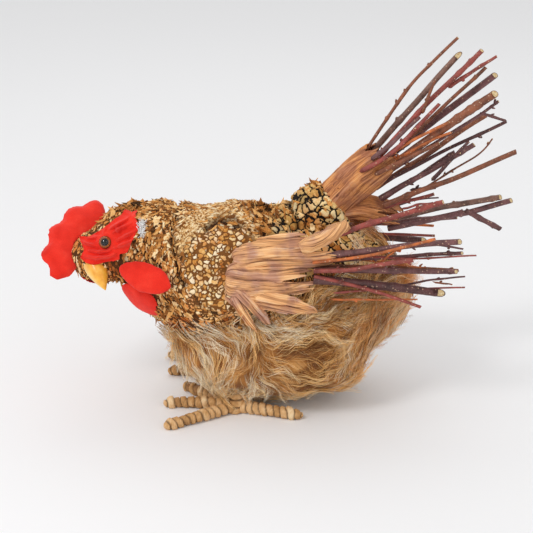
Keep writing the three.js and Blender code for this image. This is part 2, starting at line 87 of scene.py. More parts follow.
def tone(code):
    parts = [int(code[i:i + 2], 16) / 255 for i in (0, 2, 4)]
    linear = [c / 12.92 if c <= 0.04045 else ((c + 0.055) / 1.055) ** 2.4 for c in parts]
    return (*linear, 1.0)


def connect(node, links):
    for name, value in links.items() if isinstance(links, dict) else enumerate(links):
        socket = node.inputs[name]
        if isinstance(value, bpy.types.Node):
            value = next(output for output in value.outputs if output.enabled)
        if isinstance(value, bpy.types.NodeSocket):
            node.id_data.links.new(value, socket)
        else:
            socket.default_value = value
    return node


def addNode(tree, kind, links=(), **settings):
    # kind without its prefix; links go to the inputs by name or in order; a node stands for its first live output
    prefixes = ("ShaderNode", "GeometryNode", "FunctionNode", "")
    node = tree.nodes.new(next(prefix + kind for prefix in prefixes if hasattr(bpy.types, prefix + kind)))
    for name, value in settings.items():
        if name == "ramp":
            while len(node.color_ramp.elements) < len(value):
                node.color_ramp.elements.new(0.5)
            for element, (place, code) in zip(node.color_ramp.elements, value):
                element.position = place
                element.color = tone(code)
        else:
            setattr(node, name, value)
    return connect(node, links)


def newMaterial(name, plain):
    material = bpy.data.materials.new(name)
    material.use_nodes = True
    tree = material.node_tree
    tree.nodes.clear()
    shader = addNode(tree, "BsdfPrincipled", plain)
    addNode(tree, "OutputMaterial", {"Surface": shader})
    return material, tree, shader


def newTree(name, sizes):
    tree = bpy.data.node_groups.new(name, "GeometryNodeTree")
    kinds = {float: "NodeSocketFloat", int: "NodeSocketInt"}
    tree.interface.new_socket("Geometry", in_out="INPUT", socket_type="NodeSocketGeometry")
    for label, value in sizes.items():
        kind = kinds.get(type(value), "NodeSocket" + type(value).__name__)
        tree.interface.new_socket(label, in_out="INPUT", socket_type=kind)
    tree.interface.new_socket("Geometry", in_out="OUTPUT", socket_type="NodeSocketGeometry")
    return tree, addNode(tree, "NodeGroupInput").outputs


def endTree(tree, geometry, start):
    realized = addNode(tree, "RealizeInstances", [geometry])
    painted = addNode(tree, "SetMaterial", {"Geometry": realized, "Material": start["Material"]})
    addNode(tree, "NodeGroupOutput", [painted])


def settle(piece):
    depsgraph = bpy.context.evaluated_depsgraph_get()
    mesh = bpy.data.meshes.new_from_object(piece.evaluated_get(depsgraph))
    piece.modifiers.clear()
    piece.data = mesh
    return piece


def runTree(piece, tree, sizes):
    modifier = piece.modifiers.new(tree.name, "NODES")
    modifier.node_group = tree
    for item in tree.interface.items_tree:
        if item.in_out == "INPUT" and item.name in sizes:
            modifier[item.identifier] = sizes[item.name]
    return settle(piece)


def newObject(name, data):
    piece = bpy.data.objects.new(name, data)
    scene.collection.objects.link(piece)
    return piece


def newPiece(name, vertices, faces, *materials, smooth=True):
    mesh = bpy.data.meshes.new(name)
    mesh.from_pydata([tuple(v) for v in vertices], [], faces)
    for material in materials:
        mesh.materials.append(material)
    mesh.polygons.foreach_set("use_smooth", [smooth] * len(mesh.polygons))
    return newObject(name, mesh)


def dress(piece, slot, *nodes):
    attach(piece, body)
    if nodes:
        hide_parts(*nodes)
    print("made", piece.name, len(piece.data.polygons), "faces")
    return piece


def mergedCopy(*nodes):
    work = bmesh.new()
    for node in nodes:
        work.from_mesh(frame["nodes"][node].data)
    bmesh.ops.remove_doubles(work, verts=work.verts, dist=1e-6)
    return work


def targetOf(*nodes):
    work = mergedCopy(*nodes)
    tree = BVHTree.FromBMesh(work)
    work.free()
    return tree


def targetOfPiece(piece):
    work = bmesh.new()
    work.from_mesh(piece.data)
    tree = BVHTree.FromBMesh(work)
    work.free()
    return tree


def remeshed(name, voxel, rounds, *nodes):
    work = mergedCopy(*nodes)
    mesh = bpy.data.meshes.new(name)
    work.to_mesh(mesh)
    work.free()
    piece = newObject(name, mesh)
    voxels = piece.modifiers.new("voxels", "REMESH")
    voxels.mode = "VOXEL"
    voxels.voxel_size = voxel * mm
    soften = piece.modifiers.new("soften", "SMOOTH")
    soften.iterations = rounds
    settle(piece)
    piece.data.polygons.foreach_set("use_smooth", [True] * len(piece.data.polygons))
    return piece


def vertexValues(piece, field):
    values = np.empty(len(piece.data.vertices) * 3)
    piece.data.vertices.foreach_get(field, values)
    return values.reshape(-1, 3)


def moveTo(piece, points):
    piece.data.vertices.foreach_set("co", np.asarray(points).reshape(-1))
    piece.data.update()


def keepValues(piece, name, values, kind="FLOAT"):
    attribute = piece.data.attributes.new(name, kind, "POINT")
    field = {"FLOAT": "value", "FLOAT_COLOR": "color", "FLOAT_VECTOR": "vector"}[kind]
    attribute.data.foreach_set(field, np.asarray(values, dtype=np.float32).reshape(-1))


def depthInside(tree, point):
    place, normal, _, _ = tree.find_nearest(point)
    return (place - point).dot(normal)


def gridFaces(rows, columns, start=0, closed=False):
    faces = []
    for row in range(rows - 1):
        for column in range(columns if closed else columns - 1):
            after = (column + 1) % columns
            a = start + row * columns
            faces.append((a + column, a + after, a + columns + after, a + columns + column))
    return faces


def tubeFaces(rows, columns):
    last = (rows - 1) * columns
    return gridFaces(rows, columns, closed=True) + [tuple(range(columns))[::-1], tuple(range(last, last + columns))]


def layGrain(piece, uvs):
    order = np.empty(len(piece.data.loops), dtype=np.int32)
    piece.data.loops.foreach_get("vertex_index", order)
    layer = piece.data.uv_layers.new(name="grain")
    layer.data.foreach_set("uv", np.asarray(uvs, dtype=np.float32)[order].reshape(-1))


def thicken(piece, thickness):
    wall = piece.modifiers.new("wall", "SOLIDIFY")
    wall.thickness = thickness * mm
    wall.offset = -1
    return settle(piece)


def middleOf(node):
    low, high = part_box(node)
    return (Vector(low) + Vector(high)) / 2


def wayAt(line, i):
    return (line[min(i + 1, len(line) - 1)] - line[max(i - 1, 0)]).normalized()


def smoothLine(points, count):
    points = [Vector(p) for p in points]
    line = []
    last = len(points) - 1
    for i in range(count):
        place = i / (count - 1) * last
        index = min(int(place), last - 1)
        part = place - index
        before = points[max(index - 1, 0)]
        after = points[min(index + 2, last)]
        a, b = points[index], points[index + 1]
        line.append(a * (2 * part ** 3 - 3 * part ** 2 + 1) + b * (3 * part ** 2 - 2 * part ** 3)
                    + (b - before) / 2 * (part ** 3 - 2 * part ** 2 + part)
                    + (after - a) / 2 * (part ** 3 - part ** 2))
    return line


head = {
    "centre": (-142, -8, 130), "radius": 21.5,
    "beakWay": (-0.461, -0.788, -0.407), "crownHint": (-0.845, 0.251, 0.471),  # ways that the beak and crown point
}
headAt = at(*head["centre"])
beakWay = Vector(head["beakWay"]).normalized()
cheekWay = Vector(head["crownHint"]).cross(beakWay).normalized()
crownWay = beakWay.cross(cheekWay).normalized()

# Camera, floor and light: a pale studio sweep with a big soft key from the upper left
studio = {
    "aim": (0, 0, 117), "distance": 1200, "elevation": 20, "focal": 95.36, "sensor": 36,
    "floor": "f4f4f5", "floorSize": 14000,
    "lights": [  # place mm, size mm, watts
        ((-800, -900, 1300), 430, 7.5),
        ((900, -1000, 700), 900, 1.2),
        ((200, 900, 1300), 1100, 2.2),
    ],
    "sky": 0.78,
}


def makeStudio(sizes):
    aim = at(*sizes["aim"])
    angle = math.radians(sizes["elevation"])
    lens = bpy.data.cameras.new("camera")
    lens.lens = sizes["focal"]
    lens.sensor_width = sizes["sensor"]
    camera = newObject("camera", lens)
    camera.location = aim + Vector((0, -math.cos(angle), math.sin(angle))) * sizes["distance"] * mm
    camera.rotation_euler = (aim - camera.location).to_track_quat("-Z", "Y").to_euler()
    scene.camera = camera
    for number, (place, size, watts) in enumerate(sizes["lights"]):
        light = bpy.data.lights.new(f"softbox{number}", "AREA")
        light.size = size * mm
        light.energy = watts
        lamp = newObject(light.name, light)
        lamp.location = at(*place)
        lamp.rotation_euler = (aim - lamp.location).to_track_quat("-Z", "Y").to_euler()
    world = bpy.data.worlds.new("sky")
    world.use_nodes = True
    world.node_tree.nodes["Background"].inputs["Color"].default_value = (1, 1, 1, 1)
    world.node_tree.nodes["Background"].inputs["Strength"].default_value = sizes["sky"]
    scene.world = world
    material, _, _ = newMaterial("paintedPaper", {"Roughness": 0.9, "Base Color": tone(sizes["floor"])})
    half = sizes["floorSize"] / 2 * mm
    corners = [(-half, -half, 0), (half, -half, 0), (half, half, 0), (-half, half, 0)]
    newPiece("floor", corners, [(0, 1, 2, 3)], material)
    scene.view_settings.view_transform = "Standard"
    print("studio ready")


makeStudio(studio)

# Bark: cork-like cells, flaky on the neck, pebbled on the shoulder, large plates at the tail
bark = {
    "voxel": 2.3, "smoothing": 4,
    "flowCentre": (-35, 134), "flowRadius": 50, "flakesFrom": 34,  # the fibres run round the shoulder
    "flake": 2.7, "flakeStretch": 2.4, "pebble": 3.9, "plate": 6.4,  # cell sizes, mm
    "depth": 1.9, "lump": 2.4, "warp": 2.4, "fineWarp": 1.0,
    "plateFrom": 0, "plateHeight": 126, "blend": 8,
    "creviceDepth": 5.0, "creviceWidth": 2.6,
    "crevices": [  # lines seen from the side, x and z; sunk in and darkened with painted shade
        [(-72, 176), (-78, 158), (-75, 138), (-68, 118)],
        [(-50, 161), (-38, 166), (-22, 163)],
        [(-88, 132), (-98, 142), (-108, 143)],
        [(18, 176), (26, 162), (24, 148)], [(-4, 158), (10, 152), (22, 156)],
    ],
    "darkSpots": [  # places painted darker: x, y, z, reach and strength
        (-104, -28, 150, 12, 0.8), (-112, -30, 128, 10, 0.7), (0, -12, 168, 11, 0.8), (10, -24, 158, 9, 0.6),
        (-140, -30, 112, 9, 0.8), (-118, -20, 108, 10, 0.7), (30, -10, 176, 8, 0.6), (-84, -44, 100, 9, 0.5),
        (-92, -44, 138, 7, 0.85), (-100, -30, 166, 6, 0.7), (-72, -44, 160, 6, 0.6), (-74, -52, 122, 6, 0.7)],
}


def addBarkPattern(tree, spot):
    # cells of three kinds: flakes along the fibres, round pebbles, and plates over the tail
    size = bark
    wide = addNode(tree, "TexNoise", {"Vector": spot, "Scale": 1 / (11 * mm)})
    fine = addNode(tree, "TexNoise", {"Vector": spot, "Scale": 1 / (2.7 * mm), "Detail": 1.0})
    warped = spot
    for source, reach in ((wide, size["warp"]), (fine, size["fineWarp"])):
        stray = addNode(tree, "VectorMath", [source.outputs["Color"], (0.5, 0.5, 0.5)], operation="SUBTRACT")
        warped = addNode(tree, "VectorMath", [stray, (reach * mm * 2,) * 3, warped], operation="MULTIPLY_ADD")
    ragged = addNode(tree, "Math", [wide, 24 * mm, -12 * mm], operation="MULTIPLY_ADD")
    split = addNode(tree, "SeparateXYZ", [warped])
    centre = at(size["flowCentre"][0], 0, size["flowCentre"][1])
    x, z = (addNode(tree, "Math", [split.outputs[axis], middle], operation="SUBTRACT")
            for axis, middle in (("X", centre.x), ("Z", centre.z)))
    squareX = addNode(tree, "Math", [x, x], operation="MULTIPLY")
    square = addNode(tree, "Math", [z, z, squareX], operation="MULTIPLY_ADD")
    radius = addNode(tree, "Math", [square], operation="SQRT")
    halfZ = addNode(tree, "Math", [z, 0.5], operation="MULTIPLY")
    besideSeam = addNode(tree, "Math", [x, 0.866, halfZ], operation="MULTIPLY_ADD")
    mostZ = addNode(tree, "Math", [z, 0.866], operation="MULTIPLY")
    alongSeam = addNode(tree, "Math", [x, -0.5, mostZ], operation="MULTIPLY_ADD")
    turn = addNode(tree, "Math", [besideSeam, alongSeam], operation="ARCTAN2")
    along = addNode(tree, "Math", [turn, size["flowRadius"] * mm], operation="MULTIPLY")
    flow = addNode(tree, "CombineXYZ", [along, radius, split.outputs["Y"]])
    raggedRadius, raggedX, raggedZ = (addNode(tree, "Math", [source, ragged], operation="ADD")
                                      for source in (radius, split.outputs["X"], split.outputs["Z"]))
    blend = size["blend"] * mm
    flaky = addNode(tree, "MapRange", [raggedRadius, size["flakesFrom"] * mm, size["flakesFrom"] * mm + blend])
    plates = at(size["plateFrom"], 0, 0).x
    onTail = addNode(tree, "MapRange", [raggedX, plates, plates + blend])
    high = addNode(tree, "MapRange", [raggedZ, size["plateHeight"] * mm, size["plateHeight"] * mm + blend])
    plated = addNode(tree, "Math", [onTail, high], operation="MULTIPLY")
    unevenGap = addNode(tree, "MapRange", [fine, 0.32, 0.68, 0.55, 1.5])
    flake, pebble, plate = (1 / (size[name] * mm) for name in ("flake", "pebble", "plate"))
    layers = []
    for source, scales, edgeFrom, edgeTo, missing, low, rim in (
            (flow, (flake / size["flakeStretch"], flake, flake), 0.03, 0.20, 0.06, 0.25, 1.1),
            (warped, (pebble, pebble, pebble), 0.04, 0.20, 0.02, 0.5, 0.8),
            (warped, (plate * 0.85, plate, plate * 1.1), 0.03, 0.15, 0.0, 0.7, 1.1)):
        scaled = addNode(tree, "VectorMath", [source, scales], operation="MULTIPLY")
        edge = addNode(tree, "TexVoronoi", {"Vector": scaled, "Scale": 1.0}, feature="DISTANCE_TO_EDGE")
        cell = addNode(tree, "TexVoronoi", {"Vector": scaled, "Scale": 1.0}, feature="F1")
        reach = addNode(tree, "Math", [unevenGap, edgeTo], operation="MULTIPLY")
        raised = addNode(tree, "MapRange", [edge.outputs["Distance"], edgeFrom, reach],
                         interpolation_type="SMOOTHSTEP")
        chance = addNode(tree, "SeparateXYZ", [cell.outputs["Color"]])
        there = addNode(tree, "MapRange", [chance.outputs["Z"], missing, missing + 0.08, 0.12, 1.0])
        rounded = addNode(tree, "MapRange", [cell.outputs["Distance"], rim, rim - 0.2])
        whole = addNode(tree, "Math", [raised, rounded], operation="MULTIPLY")
        shown = addNode(tree, "Math", [whole, there], operation="MULTIPLY")
        stand = addNode(tree, "MapRange", {0: chance.outputs["X"], 3: low, 4: 1.0})
        height = addNode(tree, "Math", [shown, stand], operation="MULTIPLY")
        layers.append((shown, height, chance.outputs["Y"]))
    results = []
    for flakeValue, pebbleValue, plateValue in zip(*layers):
        first = addNode(tree, "Mix", {0: flaky, 2: pebbleValue, 3: flakeValue}, data_type="FLOAT")
        both = addNode(tree, "Mix", {0: plated, 2: first, 3: plateValue}, data_type="FLOAT")
        results.append(both)
    return {"raised": results[0], "height": results[1], "shade": results[2],
            "flaky": flaky, "plated": plated, "flow": flow}


def makeBarkMaterial():
    # cork bark: dry and matt, pale chips over a dark fibrous ground; the gaps between the chips and the crevices
    # carry painted shade
    material, tree, shader = newMaterial("corkBark", {"Roughness": 0.86, "IOR": 1.45, "Specular IOR Level": 0.3})
    rest = addNode(tree, "Attribute", attribute_name="restPlace").outputs["Vector"]
    worn = addNode(tree, "Attribute", attribute_name="worn").outputs["Fac"]
    golden = addNode(tree, "Attribute", attribute_name="golden").outputs["Fac"]
    pattern = addBarkPattern(tree, rest)
    grain = addNode(tree, "TexNoise", {"Vector": rest, "Scale": 1 / (1.2 * mm), "Detail": 4.0})
    stretched = addNode(tree, "VectorMath", [pattern["flow"], (1 / (8 * mm), 1 / (1.3 * mm), 1 / (1.3 * mm))],
                        operation="MULTIPLY")
    fibre = addNode(tree, "TexNoise", {"Vector": stretched, "Scale": 1.0, "Detail": 3.0})
    patches = addNode(tree, "TexNoise", {"Vector": rest, "Scale": 1 / (17 * mm), "Detail": 3.0})
    detail = addNode(tree, "Mix", {0: 0.6, 2: grain, 3: fibre}, data_type="FLOAT")
    mixedShade = addNode(tree, "Math", [detail, 1.3, -0.65], operation="MULTIPLY_ADD")
    shade = addNode(tree, "Math", [pattern["shade"], mixedShade], operation="ADD")
    pebbles = addNode(tree, "ValToRGB", [shade], ramp=[(0.0, "c88438"), (0.28, "e6b268"), (0.55, "f8dca6"),
                      (1.0, "fdeccb")])
    flakes = addNode(tree, "ValToRGB", [shade], ramp=[(0.0, "8f5524"), (0.3, "d0863e"), (0.6, "f2b468"),
                     (1.0, "ffe6b6")])
    plates = addNode(tree, "ValToRGB", [shade], ramp=[(0.0, "b98641"), (0.35, "dcaf66"), (0.7, "f0d090"),
                     (1.0, "fae4b2")])
    chips = addNode(tree, "Mix", {0: pattern["flaky"], 6: pebbles, 7: flakes}, data_type="RGBA")
    chips = addNode(tree, "Mix", {0: pattern["plated"], 6: chips, 7: plates}, data_type="RGBA")
    rusty = addNode(tree, "MapRange", [patches, 0.46, 0.68, 0.0, 0.8])
    rust = addNode(tree, "Mix", {0: rusty, 6: chips, 7: tone("e09a58")}, data_type="RGBA", blend_type="MULTIPLY")
    # dark ground in the gaps between the raised cells, near black between the tail plates: painted shade
    darker = addNode(tree, "Mix", {0: pattern["flaky"], 6: tone("98632e"), 7: tone("6e441e")}, data_type="RGBA")
    gapShade = addNode(tree, "Mix", {0: pattern["plated"], 6: darker, 7: tone("24170c")}, data_type="RGBA")
    ground = addNode(tree, "Mix", {0: detail, 6: gapShade, 7: tone("8a6a4a")}, data_type="RGBA", blend_type="MULTIPLY")
    shown = addNode(tree, "MapRange", [pattern["raised"], 0.2, 0.65])
    surface = addNode(tree, "Mix", {0: shown, 6: ground, 7: rust}, data_type="RGBA")
    bast = addNode(tree, "ValToRGB", [fibre], ramp=[(0.36, "5c3818"), (0.45, "b67c3e"), (0.54, "efc88c"),
                   (0.66, "fff0cc")])
    banded = addNode(tree, "Mix", {0: golden, 6: surface, 7: bast}, data_type="RGBA")
    # painted shade in the crevices, and the dark spots painted darker
    creviceShaded = addNode(tree, "Mix", {0: worn, 6: banded, 7: tone("4a3018")}, data_type="RGBA",
                   blend_type="MULTIPLY")
    bump = addNode(tree, "Bump", {"Strength": 0.8, "Distance": 0.6 * mm, "Height": detail})
    connect(shader, {"Base Color": creviceShaded, "Normal": bump})
    return material


def refine(piece, chosen):
    work = bmesh.new()
    work.from_mesh(piece.data)
    edges = {edge for face in work.faces if chosen(face.calc_center_median()) for edge in face.edges}
    bmesh.ops.subdivide_edges(work, edges=list(edges), cuts=1, use_grid_fill=True)
    work.to_mesh(piece.data)
    work.free()


def crevicesAt(flat):
    worn = np.zeros(len(flat))
    side = flat[:, [0, 2]]
    for line in bark["crevices"]:
        for start, end in zip(line, line[1:]):
            start, end = np.array(start, float), np.array(end, float)
            span = end - start
            t = np.clip(((side - start) @ span) / (span @ span), 0, 1)
            away = np.linalg.norm(side - (start + t[:, None] * span), axis=1)
            worn = np.maximum(worn, np.exp(-(away / bark["creviceWidth"]) ** 2))
    return worn


def strengthAt(flat, places):
    strongest = np.zeros(len(flat))
    for x, y, z, reach, strength in places:
        away = np.linalg.norm(flat - np.array((x, y, z)), axis=1)
        strongest = np.maximum(strongest, strength * np.exp(-(away / reach) ** 2))
    return strongest


def goldenAt(flat):
    # smooth pale bast in a band round the top of the shoulder
    radius = np.linalg.norm(flat[:, [0, 2]] - np.array(bark["flowCentre"]), axis=1)
    band = np.exp(-((radius - 40) / 8) ** 4)
    return 0.85 * band * np.clip((flat[:, 2] - 140) / 14, 0, 1) * np.clip((-2 - flat[:, 0]) / 10, 0, 1)


def makeBark():
    furTree = targetOf("fur_belly")
    sheathTree = targetOf("left_wing_sheath", "right_wing_sheath", "tail_sheath")
    piece = remeshed("barkBody", bark["voxel"], bark["smoothing"], "bark_body")

    def shows(point):
        near = sheathTree.find_nearest(point, 6 * mm)[0] is not None
        return depthInside(furTree, point) < 4 * mm and not near

    refine(piece, shows)
    points, normals = vertexValues(piece, "co"), vertexValues(piece, "normal")
    flat = (points - np.array(shift)) / mm
    worn = crevicesAt(flat)
    keepValues(piece, "golden", goldenAt(flat))
    # crevice mask for the painted shade in the crevices, with the dark spots added
    keepValues(piece, "worn", np.maximum(worn, strengthAt(flat, bark["darkSpots"])))
    moveTo(piece, points - normals * (worn * bark["creviceDepth"] * mm)[:, None])
    tree, start = newTree("barkRelief", {"Depth": 1.0, "Lump": 1.0, "Material": barkMaterial})
    place = addNode(tree, "InputPosition")
    kept = addNode(tree, "StoreNamedAttribute", {"Geometry": start["Geometry"], "Name": "restPlace",
                   "Value": place}, data_type="FLOAT_VECTOR", domain="POINT")
    pattern = addBarkPattern(tree, place)
    lumps = addNode(tree, "TexNoise", {"Vector": place, "Scale": 1 / (13 * mm), "Detail": 3.0})
    lumpHeight = addNode(tree, "Math", [lumps, 2.0, -1.0], operation="MULTIPLY_ADD")
    lumpReach = addNode(tree, "Math", [lumpHeight, start["Lump"]], operation="MULTIPLY")
    cellReach = addNode(tree, "Math", [pattern["height"], start["Depth"], lumpReach],
                        operation="MULTIPLY_ADD")
    normal = addNode(tree, "InputNormal")
    offset = addNode(tree, "VectorMath", {0: normal, "Scale": cellReach}, operation="SCALE")
    moved = addNode(tree, "SetPosition", {"Geometry": kept, "Offset": offset})
    endTree(tree, moved, start)
    runTree(piece, tree, {"Depth": bark["depth"] * mm, "Lump": bark["lump"] * mm, "Material": barkMaterial})
    return dress(piece, "bark", "bark_body")


barkMaterial = makeBarkMaterial()
barkBody = makeBark()

# Loose bark flakes, thick along the spine, round the neck and on the torn lower edge
flakes = {
    "kinds": [  # half length, half width, thickness, curl, corners
        (2.4, 1.2, 0.6, 0.06, 5), (3.2, 1.0, 0.5, 0.06, 5), (1.6, 1.3, 0.8, 0.03, 5), (4.2, 1.6, 0.5, 0.08, 6)],
    "density": 0.42, "size": (0.5, 1.3), "seed": 5, "clear": 3.0,
    "frills": [  # x, y, z, reach and strength of the torn places
        (-122, -6, 172, 9, 1.0), (-112, 0, 178, 11, 1.0), (-96, 0, 181, 10, 0.7), (-62, 0, 180, 14, 0.3),
        (-12, -6, 172, 12, 1.0), (-2, -8, 171, 11, 1.0), (-4, -24, 160, 8, 0.7), (10, -10, 164, 9, 0.5),
        (-84, -44, 92, 8, 0.8), (-60, -50, 84, 8, 0.7), (-36, -58, 88, 9, 0.8), (-60, 46, 84, 11, 0.6),
        (-86, 36, 92, 11, 0.6), (-40, 54, 84, 9, 0.6), (44, -24, 152, 10, 0.7), (46, 0, 192, 8, 0.5)],
}


def makeFlakeMaterial():
    # torn cork and bast fibres: matt, each flake its own shade
    material, tree, shader = newMaterial("tornBark", {"Roughness": 0.9, "IOR": 1.45, "Specular IOR Level": 0.3})
    place = addNode(tree, "TexCoord").outputs["Object"]
    chance, torn = (addNode(tree, "Attribute", attribute_name=label).outputs["Fac"] for label in ("shade", "torn"))
    grain = addNode(tree, "TexNoise", {"Vector": place, "Scale": 1 / (0.9 * mm), "Detail": 3.0})
    shade = addNode(tree, "Math", [grain, 0.6, -0.3], operation="MULTIPLY_ADD")
    shade = addNode(tree, "Math", [shade, chance], operation="ADD")
    shade = addNode(tree, "Math", [torn, -0.28, shade], operation="MULTIPLY_ADD")
    ramp = addNode(tree, "ValToRGB", [shade], ramp=[(0.0, "40280f"), (0.2, "945a27"), (0.48, "d08c44"),
                   (0.78, "eebe7a"), (1.0, "fce6b8")])
    connect(shader, {"Base Color": ramp})
    return material


def flakeShape(name, length, width, thick, curl, corners, chance):
    rim = []
    for i in range(corners):
        angle = 2 * math.pi * i / corners
        reach = chance.uniform(0.75, 1.15)
        x, y = length * reach * math.cos(angle), width * reach * math.sin(angle)
        rim.append(Vector((x, y, curl * x * x + chance.uniform(-0.15, 0.15))) * mm)
    top = Vector((0, 0, thick)) * mm
    low = Vector((0, 0, -thick * 0.4)) * mm
    faces = [(i, (i + 1) % corners, corners) for i in range(corners)]
    faces += [((i + 1) % corners, i, corners + 1) for i in range(corners)]
    return newPiece(name, rim + [top, low], faces, flakeMaterial, smooth=False)


def furLine(x):
    # height where the bark ends and the fur begins, mm, along the hen
    return np.interp(x, [-170, -100, -85, -70, -45, -20, 20, 60, 110], [60, 60, 84, 88, 92, 104, 108, 118, 118])


def flakeShares(points):
    # how thickly loose flakes lie, how torn they are and which way they run
    flat = (points - np.array(shift)) / mm
    torn = strengthAt(flat, flakes["frills"])
    bare = np.clip((flat[:, 2] - furLine(flat[:, 0])) / 6, 0, 1)
    neck = np.clip((-64 - flat[:, 0]) / 12, 0, 1)
    ridge = np.clip((flat[:, 2] - 160) / 10, 0, 1) * np.clip((-2 - flat[:, 0]) / 10, 0, 1)
    wing = (np.abs(flat[:, 1]) > 30) & (flat[:, 0] > -30) & (flat[:, 2] < 158)
    face = np.linalg.norm(flat - np.array(head["centre"]), axis=1) < head["radius"] + 8
    usual = np.maximum(neck * 0.26, ridge * 0.14) * np.where(face, 0.35, 1) + 0.03
    share = np.clip(usual + torn, 0, 1) * bare * np.where(wing, 0, 1) * (1 - 0.7 * goldenAt(flat))
    cloths = targetOf("left_cheek_patch", "right_cheek_patch", "left_wattle", "right_wattle", "beak", "comb",
                      "left_eye", "right_eye")
    for index in np.nonzero((flat[:, 0] < -70) & (share > 0))[0]:
        if cloths.find_nearest(Vector(points[index]), flakes["clear"] * mm)[0] is not None:
            share[index] = 0
    centre = np.array(bark["flowCentre"])
    away = flat[:, [0, 2]] - centre
    around = np.stack([-away[:, 1], np.zeros(len(away)), away[:, 0]], axis=1)
    return share, torn, around / np.maximum(np.linalg.norm(around, axis=1), 1e-6)[:, None]


def makeFlakes(source, sizes):
    chance = random.Random(sizes["seed"])
    shapes = bpy.data.collections.new("flakeShapes")
    for number, kind in enumerate(sizes["kinds"]):
        shape = flakeShape(f"flakeShape{number}", *kind, chance)
        scene.collection.objects.unlink(shape)
        shapes.objects.link(shape)
    carrier = newObject("barkFlakes", source.data.copy())
    share, torn, around = flakeShares(vertexValues(carrier, "co"))
    keepValues(carrier, "torn", torn)
    keepValues(carrier, "share", share)
    keepValues(carrier, "around", around, "FLOAT_VECTOR")
    values = {"Density": 1.0, "Small": 0.5, "Large": 1.0, "Seed": 1, "Shapes": shapes, "Material": flakeMaterial}
    tree, start = newTree("barkFlakes", values)
    share, tornHere = (addNode(tree, "InputNamedAttribute", {"Name": label}, data_type="FLOAT")
                       for label in ("share", "torn"))
    around = addNode(tree, "InputNamedAttribute", {"Name": "around"}, data_type="FLOAT_VECTOR")
    dense = addNode(tree, "Math", [share, start["Density"]], operation="MULTIPLY")
    spots = addNode(tree, "DistributePointsOnFaces",
                    {"Mesh": start["Geometry"], "Density": dense,
                     "Seed": start["Seed"]}, distribute_method="RANDOM")
    kinds = addNode(tree, "CollectionInfo", {"Collection": start["Shapes"], "Separate Children": True,
                    "Reset Children": True})
    combed = addNode(tree, "AxesToRotation", [spots.outputs["Normal"], around], primary_axis="Z", secondary_axis="X")
    lean = addNode(tree, "RandomValue", {0: (-0.25, -0.2, -0.6), 1: (0.25, 0.2, 0.6), "Seed": 11},
                   data_type="FLOAT_VECTOR")
    wild = addNode(tree, "RandomValue", {0: (-1.3, -1.3, -2.0), 1: (1.3, 1.3, 2.0), "Seed": 12},
                   data_type="FLOAT_VECTOR")
    wilder = addNode(tree, "VectorMath", {0: wild, "Scale": tornHere}, operation="SCALE")
    turn = addNode(tree, "VectorMath", [lean, wilder], operation="ADD")
    facing = addNode(tree, "RotateRotation", [combed, turn], rotation_space="LOCAL")
    size = addNode(tree, "RandomValue", {2: start["Small"], 3: start["Large"], "Seed": 13},
                   data_type="FLOAT")
    grown = addNode(tree, "Math", [tornHere, 0.45, 1.0], operation="MULTIPLY_ADD")
    scaled = addNode(tree, "Math", [size, grown], operation="MULTIPLY")
    placed = addNode(tree, "InstanceOnPoints",
                     {"Points": spots.outputs["Points"], "Instance": kinds, "Pick Instance": True, "Rotation": facing,
                     "Scale": scaled})
    tint = addNode(tree, "RandomValue", {2: 0.0, 3: 1.0, "Seed": 14}, data_type="FLOAT")
    shaded = addNode(tree, "StoreNamedAttribute", {"Geometry": placed, "Name": "shade", "Value": tint},
                     data_type="FLOAT", domain="INSTANCE")
    endTree(tree, shaded, start)
    runTree(carrier, tree, {"Density": sizes["density"] * 1e6, "Small": sizes["size"][0],
                            "Large": sizes["size"][1], "Seed": sizes["seed"], "Shapes": shapes,
                            "Material": flakeMaterial})
    for shape in list(shapes.objects):
        bpy.data.objects.remove(shape)
    bpy.data.collections.remove(shapes)
    return dress(carrier, "bark")


flakeMaterial = makeFlakeMaterial()
makeFlakes(barkBody, flakes)

# Fur: a soft hide below, then locks and fine hairs combed down, back and out
fur = {
    "voxel": 3.2, "smoothing": 5, "seed": 3, "hideFold": 2.2, "hideSunk": 1.2,
    "guides": 2850, "parts": 3, "steps": 7, "length": (26, 62), "lift": (1.5, 8.0), "cling": 0.6,
    "hairs": 10, "width": 0.36, "spread": 4.6, "gather": 0.84,
    "wave": 30, "waveTurn": 34, "swirl": 66, "swirlSize": 30,
    "loose": 0.16, "looseLift": 13,  # share of wisps that stand off, and how far, mm
    "combing": [  # place along the hen, mm, and way of the hair in degrees above level
        (-90, -92), (-55, -98), (-25, -112), (-5, -80), (12, -42), (28, -8), (48, 26), (75, 46), (110, 52)],
}


